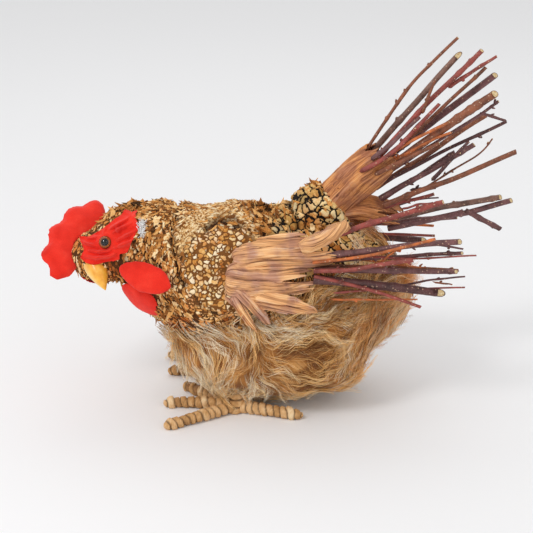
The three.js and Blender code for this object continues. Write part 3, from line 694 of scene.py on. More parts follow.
def makeFurMaterial(name, dark):
    # long animal hair on its hide: soft sheen, darker at the root (partly the hair's own colour, partly painted shade
    # deep between the locks), paler along the lock
    material, tree, shader = newMaterial(name, {"Roughness": 0.55, "IOR": 1.55, "Specular IOR Level": 0.3,
                                                  "Sheen Weight": 0.25, "Sheen Roughness": 0.4})
    place = addNode(tree, "TexCoord").outputs["Object"]
    clump, hair, along, russet = (addNode(tree, "Attribute", attribute_name=label).outputs["Fac"]
                                  for label in ("clump", "hair", "along", "russet"))
    clouds = addNode(tree, "TexNoise", {"Vector": place, "Scale": 1 / (16 * mm), "Detail": 3.0})
    ashen = addNode(tree, "TexNoise", {"Vector": place, "Scale": 1 / (23 * mm), "Detail": 2.0})
    fine = addNode(tree, "Math", [hair, 0.42, -0.21], operation="MULTIPLY_ADD")
    broad = addNode(tree, "Math", [clouds, 1.0, -0.5], operation="MULTIPLY_ADD")
    both = addNode(tree, "Math", [fine, broad], operation="ADD")
    shade = addNode(tree, "Math", [both, clump], operation="ADD")
    ramp = addNode(tree, "ValToRGB", [shade], ramp=[(0.0, "84501f"), (0.2, "c4843e"), (0.46, "f7c074"),
                   (0.75, "ffdda0"), (1.0, "fff1d4")])
    ash = addNode(tree, "MapRange", [ashen, 0.52, 0.7, 0.0, 0.36])
    ashed = addNode(tree, "Mix", {0: ash, 6: ramp, 7: tone("c4ae9a")}, data_type="RGBA", blend_type="MULTIPLY")
    redder = addNode(tree, "Mix", {0: russet, 6: ashed, 7: tone("f2c698")}, data_type="RGBA",
                     blend_type="MULTIPLY")
    # darker towards the root: partly the hair's own colour, partly painted shade between the locks
    rootShade = addNode(tree, "MapRange", [along, 0.0, 0.35, dark, 0.0])
    final = addNode(tree, "Mix", {0: rootShade, 6: redder, 7: tone("7f522a")}, data_type="RGBA")
    connect(shader, {"Base Color": final})
    return material


def furHeading(x, z):
    # way that the locks are combed, degrees above level, seen from the side
    places = [row[0] for row in fur["combing"]]
    ways = [row[1] for row in fur["combing"]]
    low = ease((62 - z) / 40) * ease((x + 10) / 40)
    return float(np.interp(x, places, ways)) * (1 - 0.55 * low)


def makeFurBase(sizes):
    piece = remeshed("furHide", sizes["voxel"], sizes["smoothing"], "fur_belly")
    points, normals = vertexValues(piece, "co"), vertexValues(piece, "normal")
    raised = []
    for point in points:
        spot = (Vector(point) - shift) / mm
        angle = math.radians(furHeading(spot.x, spot.z))
        across = -spot.x * math.sin(angle) + spot.z * math.cos(angle)
        along = spot.x * math.cos(angle) + spot.z * math.sin(angle)
        raised.append(noise.noise(Vector((across / 6, along / 26, spot.y / 14))) * sizes["hideFold"])
    moveTo(piece, points + normals * (np.array(raised) * mm - sizes["hideSunk"] * mm)[:, None])
    # paler on the raised folds and darker in the hollows: painted shade following the fold relief
    keepValues(piece, "clump", np.array(raised) * 0.12 + 0.34)
    keepValues(piece, "along", np.full(len(points), 0.3))
    piece.data.materials.clear()
    piece.data.materials.append(makeFurMaterial("hideUnderFur", 0.9))
    return dress(piece, "fur", "fur_belly")


def underWing(spot):
    return -26 < spot.x < 44 and spot.z > (104 if spot.y < 0 else 90) and abs(spot.y) > 35


def makeGuides(hide, sizes, count, seed):
    chance = random.Random(seed)
    work = bmesh.new()
    work.from_mesh(hide.data)
    bmesh.ops.triangulate(work, faces=work.faces)
    hideFaces = len(work.faces)
    work.from_mesh(frame["nodes"]["bark_body"].data)
    skin = BVHTree.FromBMesh(work)
    areas = np.cumsum([face.calc_area() for face in work.faces])
    work.faces.ensure_lookup_table()
    vertices, edges, along, clumps, russets = [], [], [], [], []
    made = 0
    while made < count:
        index = int(np.searchsorted(areas, chance.random() * areas[-1]))
        face = work.faces[index]
        a, b = sorted((chance.random(), chance.random()))
        corners = [v.co for v in face.verts]
        point = corners[0] * a + corners[1] * (b - a) + corners[2] * (1 - b)
        spot = (point - shift) / mm
        onBark = index >= hideFaces
        if onBark and not furLine(spot.x) - 20 < spot.z < furLine(spot.x) + (8 if spot.x > 30 else -2):
            continue
        deepest = 9 if spot.z < furLine(spot.x) + 4 else 1.5
        if depthInside(barkSkin, point) > deepest * mm or underWing(spot):
            continue
        made += 1
        length = chance.uniform(*sizes["length"]) * (0.75 + 0.5 * ease((spot.x + 20) / 80))
        stands = chance.random() < sizes["loose"]
        lift = sizes["looseLift"] * chance.uniform(0.5, 1) if stands else chance.uniform(*sizes["lift"])
        phase = 8 * noise.noise(spot / 22 + Vector((9, 2, 5)))
        clump = 0.52 + 1.25 * noise.noise(spot / 12) + 0.35 * noise.noise(spot / 38 + Vector((3, 8, 1)))
        clump += 0.5 * ease((-30 - spot.x) / 30) + 0.2 * ease((45 - spot.z) / 30)
        clump += 0.2 * ease((spot.x - 50) / 30)
        spread = chance.uniform(-12, 12) * (2.2 if stands else 1)
        normal = face.normal.copy()
        step = length / sizes["steps"] * mm
        base = len(vertices)
        for i in range(sizes["steps"] + 1):
            share = i / sizes["steps"]
            sunk = depthInside(barkSkin, point)
            over = sunk + 3.5 * mm * (sunk > 0 or onBark)
            end = point + normal * ((0.6 + lift * share ** 1.4) * mm + clamp(over, 0, 13 * mm))
            end.z = max(end.z, 1.2 * mm)
            vertices.append(end)
            along.append(share)
            clumps.append(clump)
            russets.append(ease((spot.x - 30) / 50) * ease((share - 0.3) / 0.6) * 0.8)
            if i:
                edges.append((base + i - 1, base + i))
            here = (point - shift) / mm
            heading = furHeading(here.x, here.z) + spread
            heading += sizes["swirl"] * 1.6 * noise.noise(here / sizes["swirlSize"])
            heading += sizes["waveTurn"] * math.sin(2 * math.pi * share * length / sizes["wave"] + phase)
            angle = math.radians(heading)
            way = Vector((math.cos(angle), 0.25 * math.sin(share * 5 + phase), math.sin(angle)))
            way -= normal * way.dot(normal)
            if way.length < 0.05:
                way = Vector((0.4, 0, -1))
            point = point + way.normalized() * step
            if share < sizes["cling"]:
                place, facing, _, _ = skin.find_nearest(point)
                point = place
                normal = (normal * 0.5 + facing * 0.5).normalized()
    work.free()
    mesh = bpy.data.meshes.new("furGuides")
    mesh.from_pydata(vertices, edges, [])
    guides = newObject("furGuides", mesh)
    for label, values in (("along", along), ("clump", clumps), ("russet", russets)):
        keepValues(guides, label, values)
    return guides


def makeHairTree(values):
    tree, start = newTree("combedHair", values)
    curves = addNode(tree, "MeshToCurve", [start["Geometry"]])
    many = addNode(tree, "DuplicateElements", {"Geometry": curves, "Amount": start["Hairs"]}, domain="SPLINE")
    chance = addNode(tree, "RandomValue", {0: (-1.0, -1.0, -1.0), 1: (1.0, 1.0, 1.0), "Seed": start["Seed"]},
                     data_type="FLOAT_VECTOR")
    each = addNode(tree, "FieldOnDomain", [chance], domain="CURVE", data_type="FLOAT_VECTOR")
    along = addNode(tree, "InputNamedAttribute", {"Name": "along"}, data_type="FLOAT")
    gathered = addNode(tree, "Math", [along, start["Gather"]], operation="MULTIPLY")
    loose = addNode(tree, "Math", [1.0, gathered], operation="SUBTRACT")
    reach = addNode(tree, "Math", [loose, start["Spread"]], operation="MULTIPLY")
    spreadOut = addNode(tree, "VectorMath", {0: each, "Scale": reach}, operation="SCALE")
    place = addNode(tree, "InputPosition")
    jitterAt = addNode(tree, "VectorMath", [each, (0.004, 0.004, 0.004), place], operation="MULTIPLY_ADD")
    wander = addNode(tree, "TexNoise", {"Vector": jitterAt, "Scale": 1 / (14 * mm), "Detail": 1.0})
    centred = addNode(tree, "VectorMath", [wander.outputs["Color"], (0.5, 0.5, 0.5)], operation="SUBTRACT")
    strayed = addNode(tree, "Math", [along, 9 * mm], operation="MULTIPLY")
    stray = addNode(tree, "VectorMath", {0: centred, "Scale": strayed}, operation="SCALE")
    offset = addNode(tree, "VectorMath", [spreadOut, stray], operation="ADD")
    moved = addNode(tree, "SetPosition", {"Geometry": many, "Offset": offset})
    raised = addNode(tree, "InputPosition")
    aboveFloor = addNode(tree, "VectorMath", [raised, (-1.0, -1.0, 0.0008)], operation="MAXIMUM")
    moved = addNode(tree, "SetPosition", {"Geometry": moved, "Position": aboveFloor})
    tint = addNode(tree, "RandomValue", {2: 0.0, 3: 1.0, "Seed": 21}, data_type="FLOAT")
    tintEach = addNode(tree, "FieldOnDomain", [tint], domain="CURVE", data_type="FLOAT")
    kept = addNode(tree, "StoreNamedAttribute", {"Geometry": moved, "Name": "hair", "Value": tintEach},
                   data_type="FLOAT", domain="POINT")
    thin = addNode(tree, "MapRange", [along, 0.2, 1.0, 1.0, 0.2])
    roll = addNode(tree, "Math", [tintEach, 6.3], operation="MULTIPLY")
    tilted = addNode(tree, "SetCurveTilt", {"Curve": kept, "Tilt": roll})
    tapered = addNode(tree, "SetCurveRadius", {"Curve": tilted, "Radius": thin})
    left, right = (addNode(tree, "CombineXYZ", [
        addNode(tree, "Math", [start["Width"], half], operation="MULTIPLY")]) for half in (0.5, -0.5))
    profile = addNode(tree, "CurvePrimitiveLine", {"Start": left, "End": right})
    ribbon = addNode(tree, "CurveToMesh", {"Curve": tapered, "Profile Curve": profile})
    if "Scale" in ribbon.inputs:
        connect(ribbon, {"Scale": thin})
    endTree(tree, ribbon, start)
    return tree


def makeFur(sizes):
    hide = makeFurBase(sizes)
    material = makeFurMaterial("longFur", 0.55)
    values = {"Hairs": sizes["hairs"], "Spread": sizes["spread"] * mm, "Gather": sizes["gather"],
              "Width": sizes["width"] * mm, "Seed": sizes["seed"], "Material": material}
    tree = makeHairTree(values)
    for part in range(sizes["parts"]):
        guides = makeGuides(hide, sizes, sizes["guides"] // sizes["parts"], sizes["seed"] + part)
        guides.name = f"furHair{part + 1}"
        dress(runTree(guides, tree, values), "fur")


barkSkin = targetOf("bark_body")
makeFur(fur)

# Sheath of a palm leaf foot: thin, dry and fibrous, torn into lobes
sheath = {
    "thickness": 1.0, "rows": 46, "columns": 38, "rayStart": 150, "rightDrop": 14, "wingOut": 58,
    "fold": 3.2, "fine": 0.6, "crack": 2.2, "curl": 3.4, "droop": 2.6,  # relief, mm
    "wing": [  # spine x and z, widths along it, lift off the flank at both ends, tear at the tip
        {"spine": [(-31, 118), (-14, 109), (8, 105)], "width": (18, 21, 12), "lift": (0.3, 2), "tear": 0.25},
        {"spine": [(-27, 113), (-18, 98), (-8, 84)], "width": (9, 8, 3.5), "lift": (3, 9), "tear": 0.2},
        {"spine": [(-23, 118), (-9, 103), (3, 89)], "width": (9, 8, 3.5), "lift": (3.5, 10), "tear": 0.2},
        {"spine": [(-12, 112), (16, 107), (42, 101)], "width": (14, 15, 4), "lift": (3, 9), "tear": 0.12},
        {"spine": [(-33, 127), (3, 125), (46, 129)], "width": (27, 25, 22), "lift": (3.0, 5), "tear": 0.34},
        {"spine": [(-27, 142), (3, 148), (56, 151)], "width": (15, 27, 20), "lift": (3.0, 8), "tear": 0.28},
        {"spine": [(-8, 157), (15, 160), (34, 163)], "width": (7, 11, 9), "lift": (2.4, 5), "tear": 0.3},
    ],
}


def makeSheathMaterial():
    # dried palm sheath: fine long fibres, satin where rubbed, grey pink to tan
    material, tree, shader = newMaterial("palmSheath", {"Roughness": 0.72, "IOR": 1.47})
    way = addNode(tree, "UVMap", uv_map="grain")
    place = addNode(tree, "TexCoord").outputs["Object"]
    stretched = addNode(tree, "Mapping", {"Vector": way, "Scale": (1 / (26 * mm), 1 / (0.55 * mm), 1)})
    fibres = addNode(tree, "TexNoise", {"Vector": stretched, "Scale": 1.0, "Detail": 4.0})
    coarse = addNode(tree, "Mapping", {"Vector": way, "Scale": (1 / (40 * mm), 1 / (2.6 * mm), 1)})
    bands = addNode(tree, "TexNoise", {"Vector": coarse, "Scale": 1.0, "Detail": 3.0})
    clouds = addNode(tree, "TexNoise", {"Vector": place, "Scale": 1 / (15 * mm), "Detail": 4.0})
    shade = addNode(tree, "Mix", {0: 0.5, 2: fibres, 3: bands}, data_type="FLOAT")
    ramp = addNode(tree, "ValToRGB", [shade], ramp=[(0.35, "5a3e33"), (0.43, "b89275"), (0.52, "f0cba8"),
                   (0.63, "fff3e0")])
    pinkness = addNode(tree, "MapRange", [clouds, 0.42, 0.6])
    cloudy = addNode(tree, "Mix", {0: pinkness, 6: tone("fcd6a0"), 7: tone("c9a197")}, data_type="RGBA")
    painted = addNode(tree, "Mix", {0: 0.85, 6: ramp, 7: cloudy}, data_type="RGBA", blend_type="MULTIPLY")
    split = addNode(tree, "SeparateXYZ", [place])
    centred = addNode(tree, "Math", [split.outputs["Y"], shift.y], operation="SUBTRACT")
    aside = addNode(tree, "Math", [centred], operation="ABSOLUTE")
    onTail = addNode(tree, "MapRange", [aside, 28 * mm, 44 * mm, 0.85, 0.0])
    redder = addNode(tree, "Mix", {0: onTail, 6: painted, 7: tone("eccfae")}, data_type="RGBA", blend_type="MULTIPLY")
    bump = addNode(tree, "Bump", {"Strength": 0.9, "Distance": 0.65 * mm, "Height": shade})
    connect(shader, {"Base Color": redder, "Normal": bump})
    return material


def tornEnd(share, tear, seed):
    wide = noise.noise(Vector((share * 3.1, seed, 0.3)))
    fingers = abs(noise.noise(Vector((share * 7, seed, 2.2)))) * 1.9
    fine = noise.noise(Vector((share * 17, seed, 7.3)))
    return 1 - tear * clamp(0.2 + 0.7 * wide + 0.75 * fingers + 0.35 * fine, 0, 1.3)


def makeWingStrip(strip, side, number):
    rows, columns = sheath["rows"], sheath["columns"]
    drop = sheath["rightDrop"] if side > 0 else 0
    spine = smoothLine([(x, 0, z - drop) for x, z in strip["spine"]], 40)
    widths = smoothLine([(w, 0, 0) for w in strip["width"]], 40)
    length = sum((b - a).length for a, b in zip(spine, spine[1:]))
    seed = number * 3.7 + (11 if side > 0 else 0)
    vertices, uvs = [], []
    for row in range(rows):
        for column in range(columns):
            across = column / (columns - 1)
            s = row / (rows - 1) * tornEnd(across, strip["tear"], seed)
            place = s * 39
            index = min(int(place), 38)
            centre = spine[index].lerp(spine[index + 1], place - index)
            way = (spine[index + 1] - spine[index]).normalized()
            sidewise = Vector((-way.z, 0, way.x))
            width = widths[index].x
            v = (across - 0.5) * 2
            edge = 1 + 0.07 * noise.noise(Vector((s * 9, v, seed)))
            round_ = math.sqrt(max(0.0, 1 - max(0.0, (0.12 - s) / 0.12) ** 2)) * 0.55 + 0.45
            flat = centre + sidewise * v * width / 2 * edge * round_
            start = at(flat.x, side * sheath["rayStart"], flat.z)
            hit = flank.ray_cast(start, Vector((0, -side, 0)))[0]
            reach = abs(hit.y - shift.y) / mm if hit else 0
            reach = max(reach, sheath["wingOut"] - 8 * (1 - s) - 6)
            lift = strip["lift"][0] + (strip["lift"][1] - strip["lift"][0]) * s
            aside = v * width / 2
            stray = aside + 2.5 * noise.noise(Vector((s * length / 16, seed, 4)))
            fold = sheath["fold"] * noise.noise(Vector((stray / 7, s * length / 40, seed)))
            fine = sheath["fine"] * noise.noise(Vector((stray / 2.2, s * length / 36, seed)))
            crack = abs(noise.noise(Vector((stray / 5, s * length / 60, seed + 3))))
            fine -= sheath["crack"] * math.exp(-(crack / 0.05) ** 2) * ease(s * 4)
            curl = sheath["curl"] * (1 - v * v) * ease(s * 4) * min(width / 22, 1)
            curl -= sheath["droop"] * ease((s - 0.72) / 0.28) * v * v
            out = reach * 0.6 + (sheath["wingOut"] - 2) * 0.4 + lift + fold + fine + curl
            point = at(flat.x, side * out, flat.z)
            vertices.append(point)
            uvs.append((s * length * mm + seed, v * width / 2 * mm + number * 0.1))
    faces = gridFaces(rows, columns)
    if side < 0:
        faces = [face[::-1] for face in faces]
    piece = newPiece(f"strip{number}", vertices, faces, sheathMaterial)
    layGrain(piece, uvs)
    return thicken(piece, sheath["thickness"])


def joined(name, pieces):
    work = bmesh.new()
    for piece in pieces:
        work.from_mesh(piece.data)
    mesh = pieces[0].data.copy()
    work.to_mesh(mesh)
    work.free()
    whole = newObject(name, mesh)
    for piece in pieces:
        bpy.data.objects.remove(piece)
    return whole


def makeStub(side):
    # short thick end of a leaf rib that stands on the sheath
    drop = sheath["rightDrop"] if side > 0 else 0
    line = smoothLine([at(27, side * 66, 156 - drop), at(46, side * 64, 165 - drop),
                       at(65, side * 60, 175 - drop)], 26)
    radii = [(3.0 + 3.4 * math.sin(math.pi * min(i / 25 * 0.7 + 0.2, 1))) * mm for i in range(26)]
    return makeRod("stub", line, radii, 16, sheathMaterial, 0.3, 41)


def makeRod(name, line, radii, columns, material, rough, seed):
    vertices, uvs = [], []
    far = 0
    for i, centre in enumerate(line):
        way = wayAt(line, i)
        far += (centre - line[max(i - 1, 0)]).length
        side = way.cross(Vector((0, 1, 0.2))).normalized()
        up = side.cross(way)
        for column in range(columns):
            angle = 2 * math.pi * column / columns
            bump = 1 + rough * noise.noise(Vector((math.cos(angle) * 2, math.sin(angle) * 2, far * 160 + seed)))
            vertices.append(centre + (side * math.cos(angle) + up * math.sin(angle)) * radii[i] * bump)
            uvs.append((far, angle * radii[i]))
    piece = newPiece(name, vertices, tubeFaces(len(line), columns), material)
    layGrain(piece, uvs)
    recalculated(piece)
    return piece


def recalculated(piece):
    work = bmesh.new()
    work.from_mesh(piece.data)
    bmesh.ops.recalc_face_normals(work, faces=work.faces)
    work.to_mesh(piece.data)
    work.free()


def makeWings():
    for name, side in (("left", -1), ("right", 1)):
        strips = [makeWingStrip(strip, side, number) for number, strip in enumerate(sheath["wing"])]
        strips.append(makeStub(side))
        dress(joined(f"{name}WingSheath", strips), "palm_sheath", f"{name}_wing_sheath")


tailSleeve = {
    "rows": 52, "columns": 84,
    "upper": {  # spread is how far round the twigs the sheath goes, 1 for all round
        "line": [(47, 0, 169), (62, 0, 184), (76, 0, 197), (90, 0, 209), (101, 0, 219)],
        "radii": (15, 16, 17.5, 16, 13.5), "spread": 1.04, "flatten": 0.92, "tear": 0.3, "seed": 2.0},
    "lower": {
        "line": [(46, 3, 162), (62, 6, 166), (82, 9, 167), (104, 12, 161), (116, 13, 156)],
        "radii": (13, 15, 15, 12, 6), "spread": 0.72, "flatten": 0.7, "tear": 0.3, "seed": 8.0},
}


def makeSleeve(name, sizes):
    rows, columns, seed = tailSleeve["rows"], tailSleeve["columns"], sizes["seed"]
    path = smoothLine([at(*p) for p in sizes["line"]], rows)
    girth = smoothLine([(r, 0, 0) for r in sizes["radii"]], rows)
    length = sum((b - a).length for a, b in zip(path, path[1:]))
    vertices, uvs = [], []
    for row in range(rows):
        for column in range(columns):
            share = column / (columns - 1)
            s = row / (rows - 1) * tornEnd(share, sizes["tear"], seed)
            place = s * (rows - 1)
            index = min(int(place), rows - 2)
            centre = path[index].lerp(path[index + 1], place - index)
            way = (path[index + 1] - path[index]).normalized()
            sidewise = Vector((0, 1, 0))
            up = way.cross(sidewise).normalized() * -1
            angle = math.pi * (share * 2 - 1) * sizes["spread"]
            radius = girth[index].x + 1.5 * share
            radius += 1.1 * math.sin(5 * angle + 2 * s) + 0.8 * noise.noise(Vector((angle * 6, s * 1.6, seed)))
            radius += 0.9 * noise.noise(Vector((angle * 2, s * 3, seed + 5)))
            stray = angle * 9 + 1.2 * noise.noise(Vector((s * 5, seed, 3)))
            radius += 0.9 * noise.noise(Vector((stray, s * 2, seed)))
            radius -= 1.3 * math.exp(-(noise.noise(Vector((stray / 2.4, s, seed + 3))) / 0.05) ** 2)
            flare = 1 + 0.10 * ease((s - 0.8) / 0.2) * noise.noise(Vector((angle * 3, 1, seed)))
            offset = up * math.cos(angle) * sizes["flatten"] + sidewise * math.sin(angle)
            vertices.append(centre - offset * radius * flare * mm)
            uvs.append((s * length + seed, angle * radius * mm))
    faces = gridFaces(rows, columns)
    piece = newPiece(name, vertices, faces, sheathMaterial)
    recalculated(piece)
    layGrain(piece, uvs)
    return thicken(piece, sheath["thickness"])


def makeTailSheath():
    sleeves = [makeSleeve(f"{name}Sleeve", tailSleeve[name]) for name in ("upper", "lower")]
    return dress(joined("tailSheath", sleeves), "palm_sheath", "tail_sheath")


sheathMaterial = makeSheathMaterial()
flank = targetOf("bark_body", "fur_belly")
makeWings()
makeTailSheath()

# Twigs: cut shoots with thin glossy bark, knots, buds and pale ends
twigs = {
    "columns": 12, "ringStep": 2.6, "wiggle": 0.7, "knotHeight": 0.22, "knotSpan": 2.2, "seed": 17,
    "palette": {"plum": "6b4443", "red": "8c4037", "orange": "bb6530", "grey": "7c5a4d", "dark": "553231",
                "brown": "80492f"},
    "tail": ["brown", "grey", "red", "brown", "plum", "brown", "orange", "plum", "brown", "dark", "plum", "plum",
             "brown", "red", "grey", "plum"],
    "left": ["red", "plum", "plum", "orange", "red", "plum", "brown", "dark", "red"],
    "right": ["plum", "orange", "red", "dark", "red", "orange"],
    "oblique": {  # how slanting the cut is, where it isn't nearly square
        "tail_twig_2": 2.0, "tail_twig_3": 0.5, "tail_twig_5": 0.8, "tail_twig_6": 0.8, "tail_twig_15": 0.8,
        "tail_twig_16": 0.8, "left_wing_twig_1": 0.5, "left_wing_twig_2": 0.9, "left_wing_twig_3": 0.9,
        "left_wing_twig_6": 0.9, "left_wing_twig_8": 1.8, "right_wing_twig_4": 1.5},
    "forked": ("tail_twig_8", "tail_twig_16"),
    "thin": [  # fine shoots that only the dressed hen has: points, thickness at the root, colour
        ([(58, -52, 143), (96, -57, 141), (150, -58, 134)], 1.9, "orange"),
        ([(52, -56, 109), (80, -60, 110), (122, -64, 112)], 1.9, "orange"),
        ([(91, -68, 144), (96, -69, 150), (102, -70, 156)], 1.8, "orange"),
        ([(134, -60, 126), (142, -61, 125), (150, -62, 124)], 1.6, "brown"),
        ([(118, 5, 176), (150, 3, 198), (176, 1, 216), (186, 0, 229)], 1.8, "brown"),
        ([(54, -60, 116), (100, -62, 120), (160, -63, 122)], 2.0, "red"),
        ([(60, -58, 148), (110, -60, 146), (168, -62, 149)], 2.0, "red"),
        ([(104, -55, 152), (132, -56, 156), (158, -58, 153)], 2.2, "plum"),
        ([(110, -54, 120), (132, -58, 126), (160, -62, 131)], 2.0, "plum"),
        ([(100, 14, 164), (124, 16, 170), (146, 17, 173)], 1.9, "dark"),
        ([(96, 10, 166), (118, 10, 178), (130, 10, 184)], 1.7, "red"),
        ([(92, -8, 206), (118, -12, 222), (150, -14, 238)], 3.0, "orange"),
        ([(127, -4, 251), (131, -6, 265), (136, -6, 279)], 2.8, "brown"),
        ([(136, -10, 196), (150, -12, 213), (165, -12, 230)], 3.5, "dark"),
        ([(112, -8, 171), (126, -10, 175), (138, -10, 177)], 2.0, "red"),
        ([(120, 6, 183), (131, 6, 184), (142, 6, 185)], 3.2, "dark"),
        ([(148, 2, 271), (166, 2, 284), (186, 2, 297)], 3.4, "red"),
        ([(76, -19, 206), (96, -19, 218), (114, -14, 233), (140, -8, 260)], 4.2, "red"),
        ([(85, -18, 216), (100, -16, 228), (124, -12, 250)], 4.0, "plum"),
        ([(88, -20, 204), (112, -19, 216), (140, -18, 230)], 4.2, "brown"),
    ],
}


def makeTwigMaterials():
    # smooth shoot bark: a low satin gloss, pale pores and a little dust
    material, tree, shader = newMaterial("shootBark", {"Roughness": 0.5, "IOR": 1.48, "Specular IOR Level": 0.4})
    place = addNode(tree, "TexCoord").outputs["Object"]
    own = addNode(tree, "Attribute", attribute_name="barkTone").outputs["Color"]
    clouds = addNode(tree, "TexNoise", {"Vector": place, "Scale": 1 / (7 * mm), "Detail": 4.0})
    fine = addNode(tree, "TexNoise", {"Vector": place, "Scale": 1 / (0.9 * mm), "Detail": 3.0})
    light = addNode(tree, "MapRange", [clouds, 0.3, 0.7, 0.55, 1.5])
    varied = addNode(tree, "VectorMath", {0: own, "Scale": light}, operation="SCALE")
    dust = addNode(tree, "MapRange", [fine, 0.52, 0.8, 0.0, 0.4])
    dusted = addNode(tree, "Mix", {0: dust, 6: varied, 7: tone("a08d84")}, data_type="RGBA")
    pores = addNode(tree, "TexVoronoi", {"Vector": place, "Scale": 1 / (3.1 * mm)})
    dots = addNode(tree, "MapRange", [pores.outputs["Distance"], 0.13, 0.2, 0.8, 0.0])
    dotted = addNode(tree, "Mix", {0: dots, 6: dusted, 7: tone("cda98c")}, data_type="RGBA")
    bump = addNode(tree, "Bump", {"Strength": 0.35, "Distance": 0.3 * mm, "Height": fine})
    connect(shader, {"Base Color": dotted, "Normal": bump})
    # freshly cut wood: pale, open pored and matt
    cut, cutTree, cutShader = newMaterial("cutWood", {"Roughness": 0.85, "IOR": 1.45})
    where = addNode(cutTree, "TexCoord").outputs["Object"]
    pith = addNode(cutTree, "TexNoise", {"Vector": where, "Scale": 1 / (1.4 * mm), "Detail": 3.0})
    wood = addNode(cutTree, "ValToRGB", [pith], ramp=[(0.3, "b78f5c"), (0.55, "e0c796"), (0.8, "f1e3c0")])
    connect(cutShader, {"Base Color": wood})
    return material, cut


def rodOf(node, fanCentre):
    # centre line and radii of a rod-shaped solid, root first, with a fork's own line where it has one
    work = mergedCopy(node)
    points = np.array([v.co[:] for v in work.verts])
    work.free()
    centre = np.array(fanCentre)
    far = points[np.argmax(np.linalg.norm(points - centre, axis=1))]
    near = points[np.argmin(np.linalg.norm(points - centre, axis=1))]
    axis = (far - near) / np.linalg.norm(far - near)
    fork = None
    if node in twigs["forked"]:
        away = np.linalg.norm((points - near) - np.outer((points - near) @ axis, axis), axis=1)
        wild = points[away > 7.5 * mm]
        tip = wild[np.linalg.norm(wild - wild[np.argmax(away[away > 7.5 * mm])], axis=1) < 7 * mm].mean(axis=0)
        fork = tip
        points = points[away < 7 * mm]
    t = (points - near) @ axis
    order = np.argsort(t)
    rings, last = [[order[0]]], t[order[0]]
    for index in order[1:]:
        if t[index] - last > 3.0 * mm:
            rings.append([])
        rings[-1].append(index)
        last = t[index]
    line = [points[ring].mean(axis=0) for ring in rings if len(ring) >= 5]
    radius = np.median([np.linalg.norm(points[ring] - points[ring].mean(axis=0), axis=1).mean()
                        for ring in (rings[-1], rings[max(len(rings) - 2, 0)])])
    if len(line) < 2:
        line = [near, far]
    return [Vector(p) for p in line], radius, None if fork is None else Vector(fork)


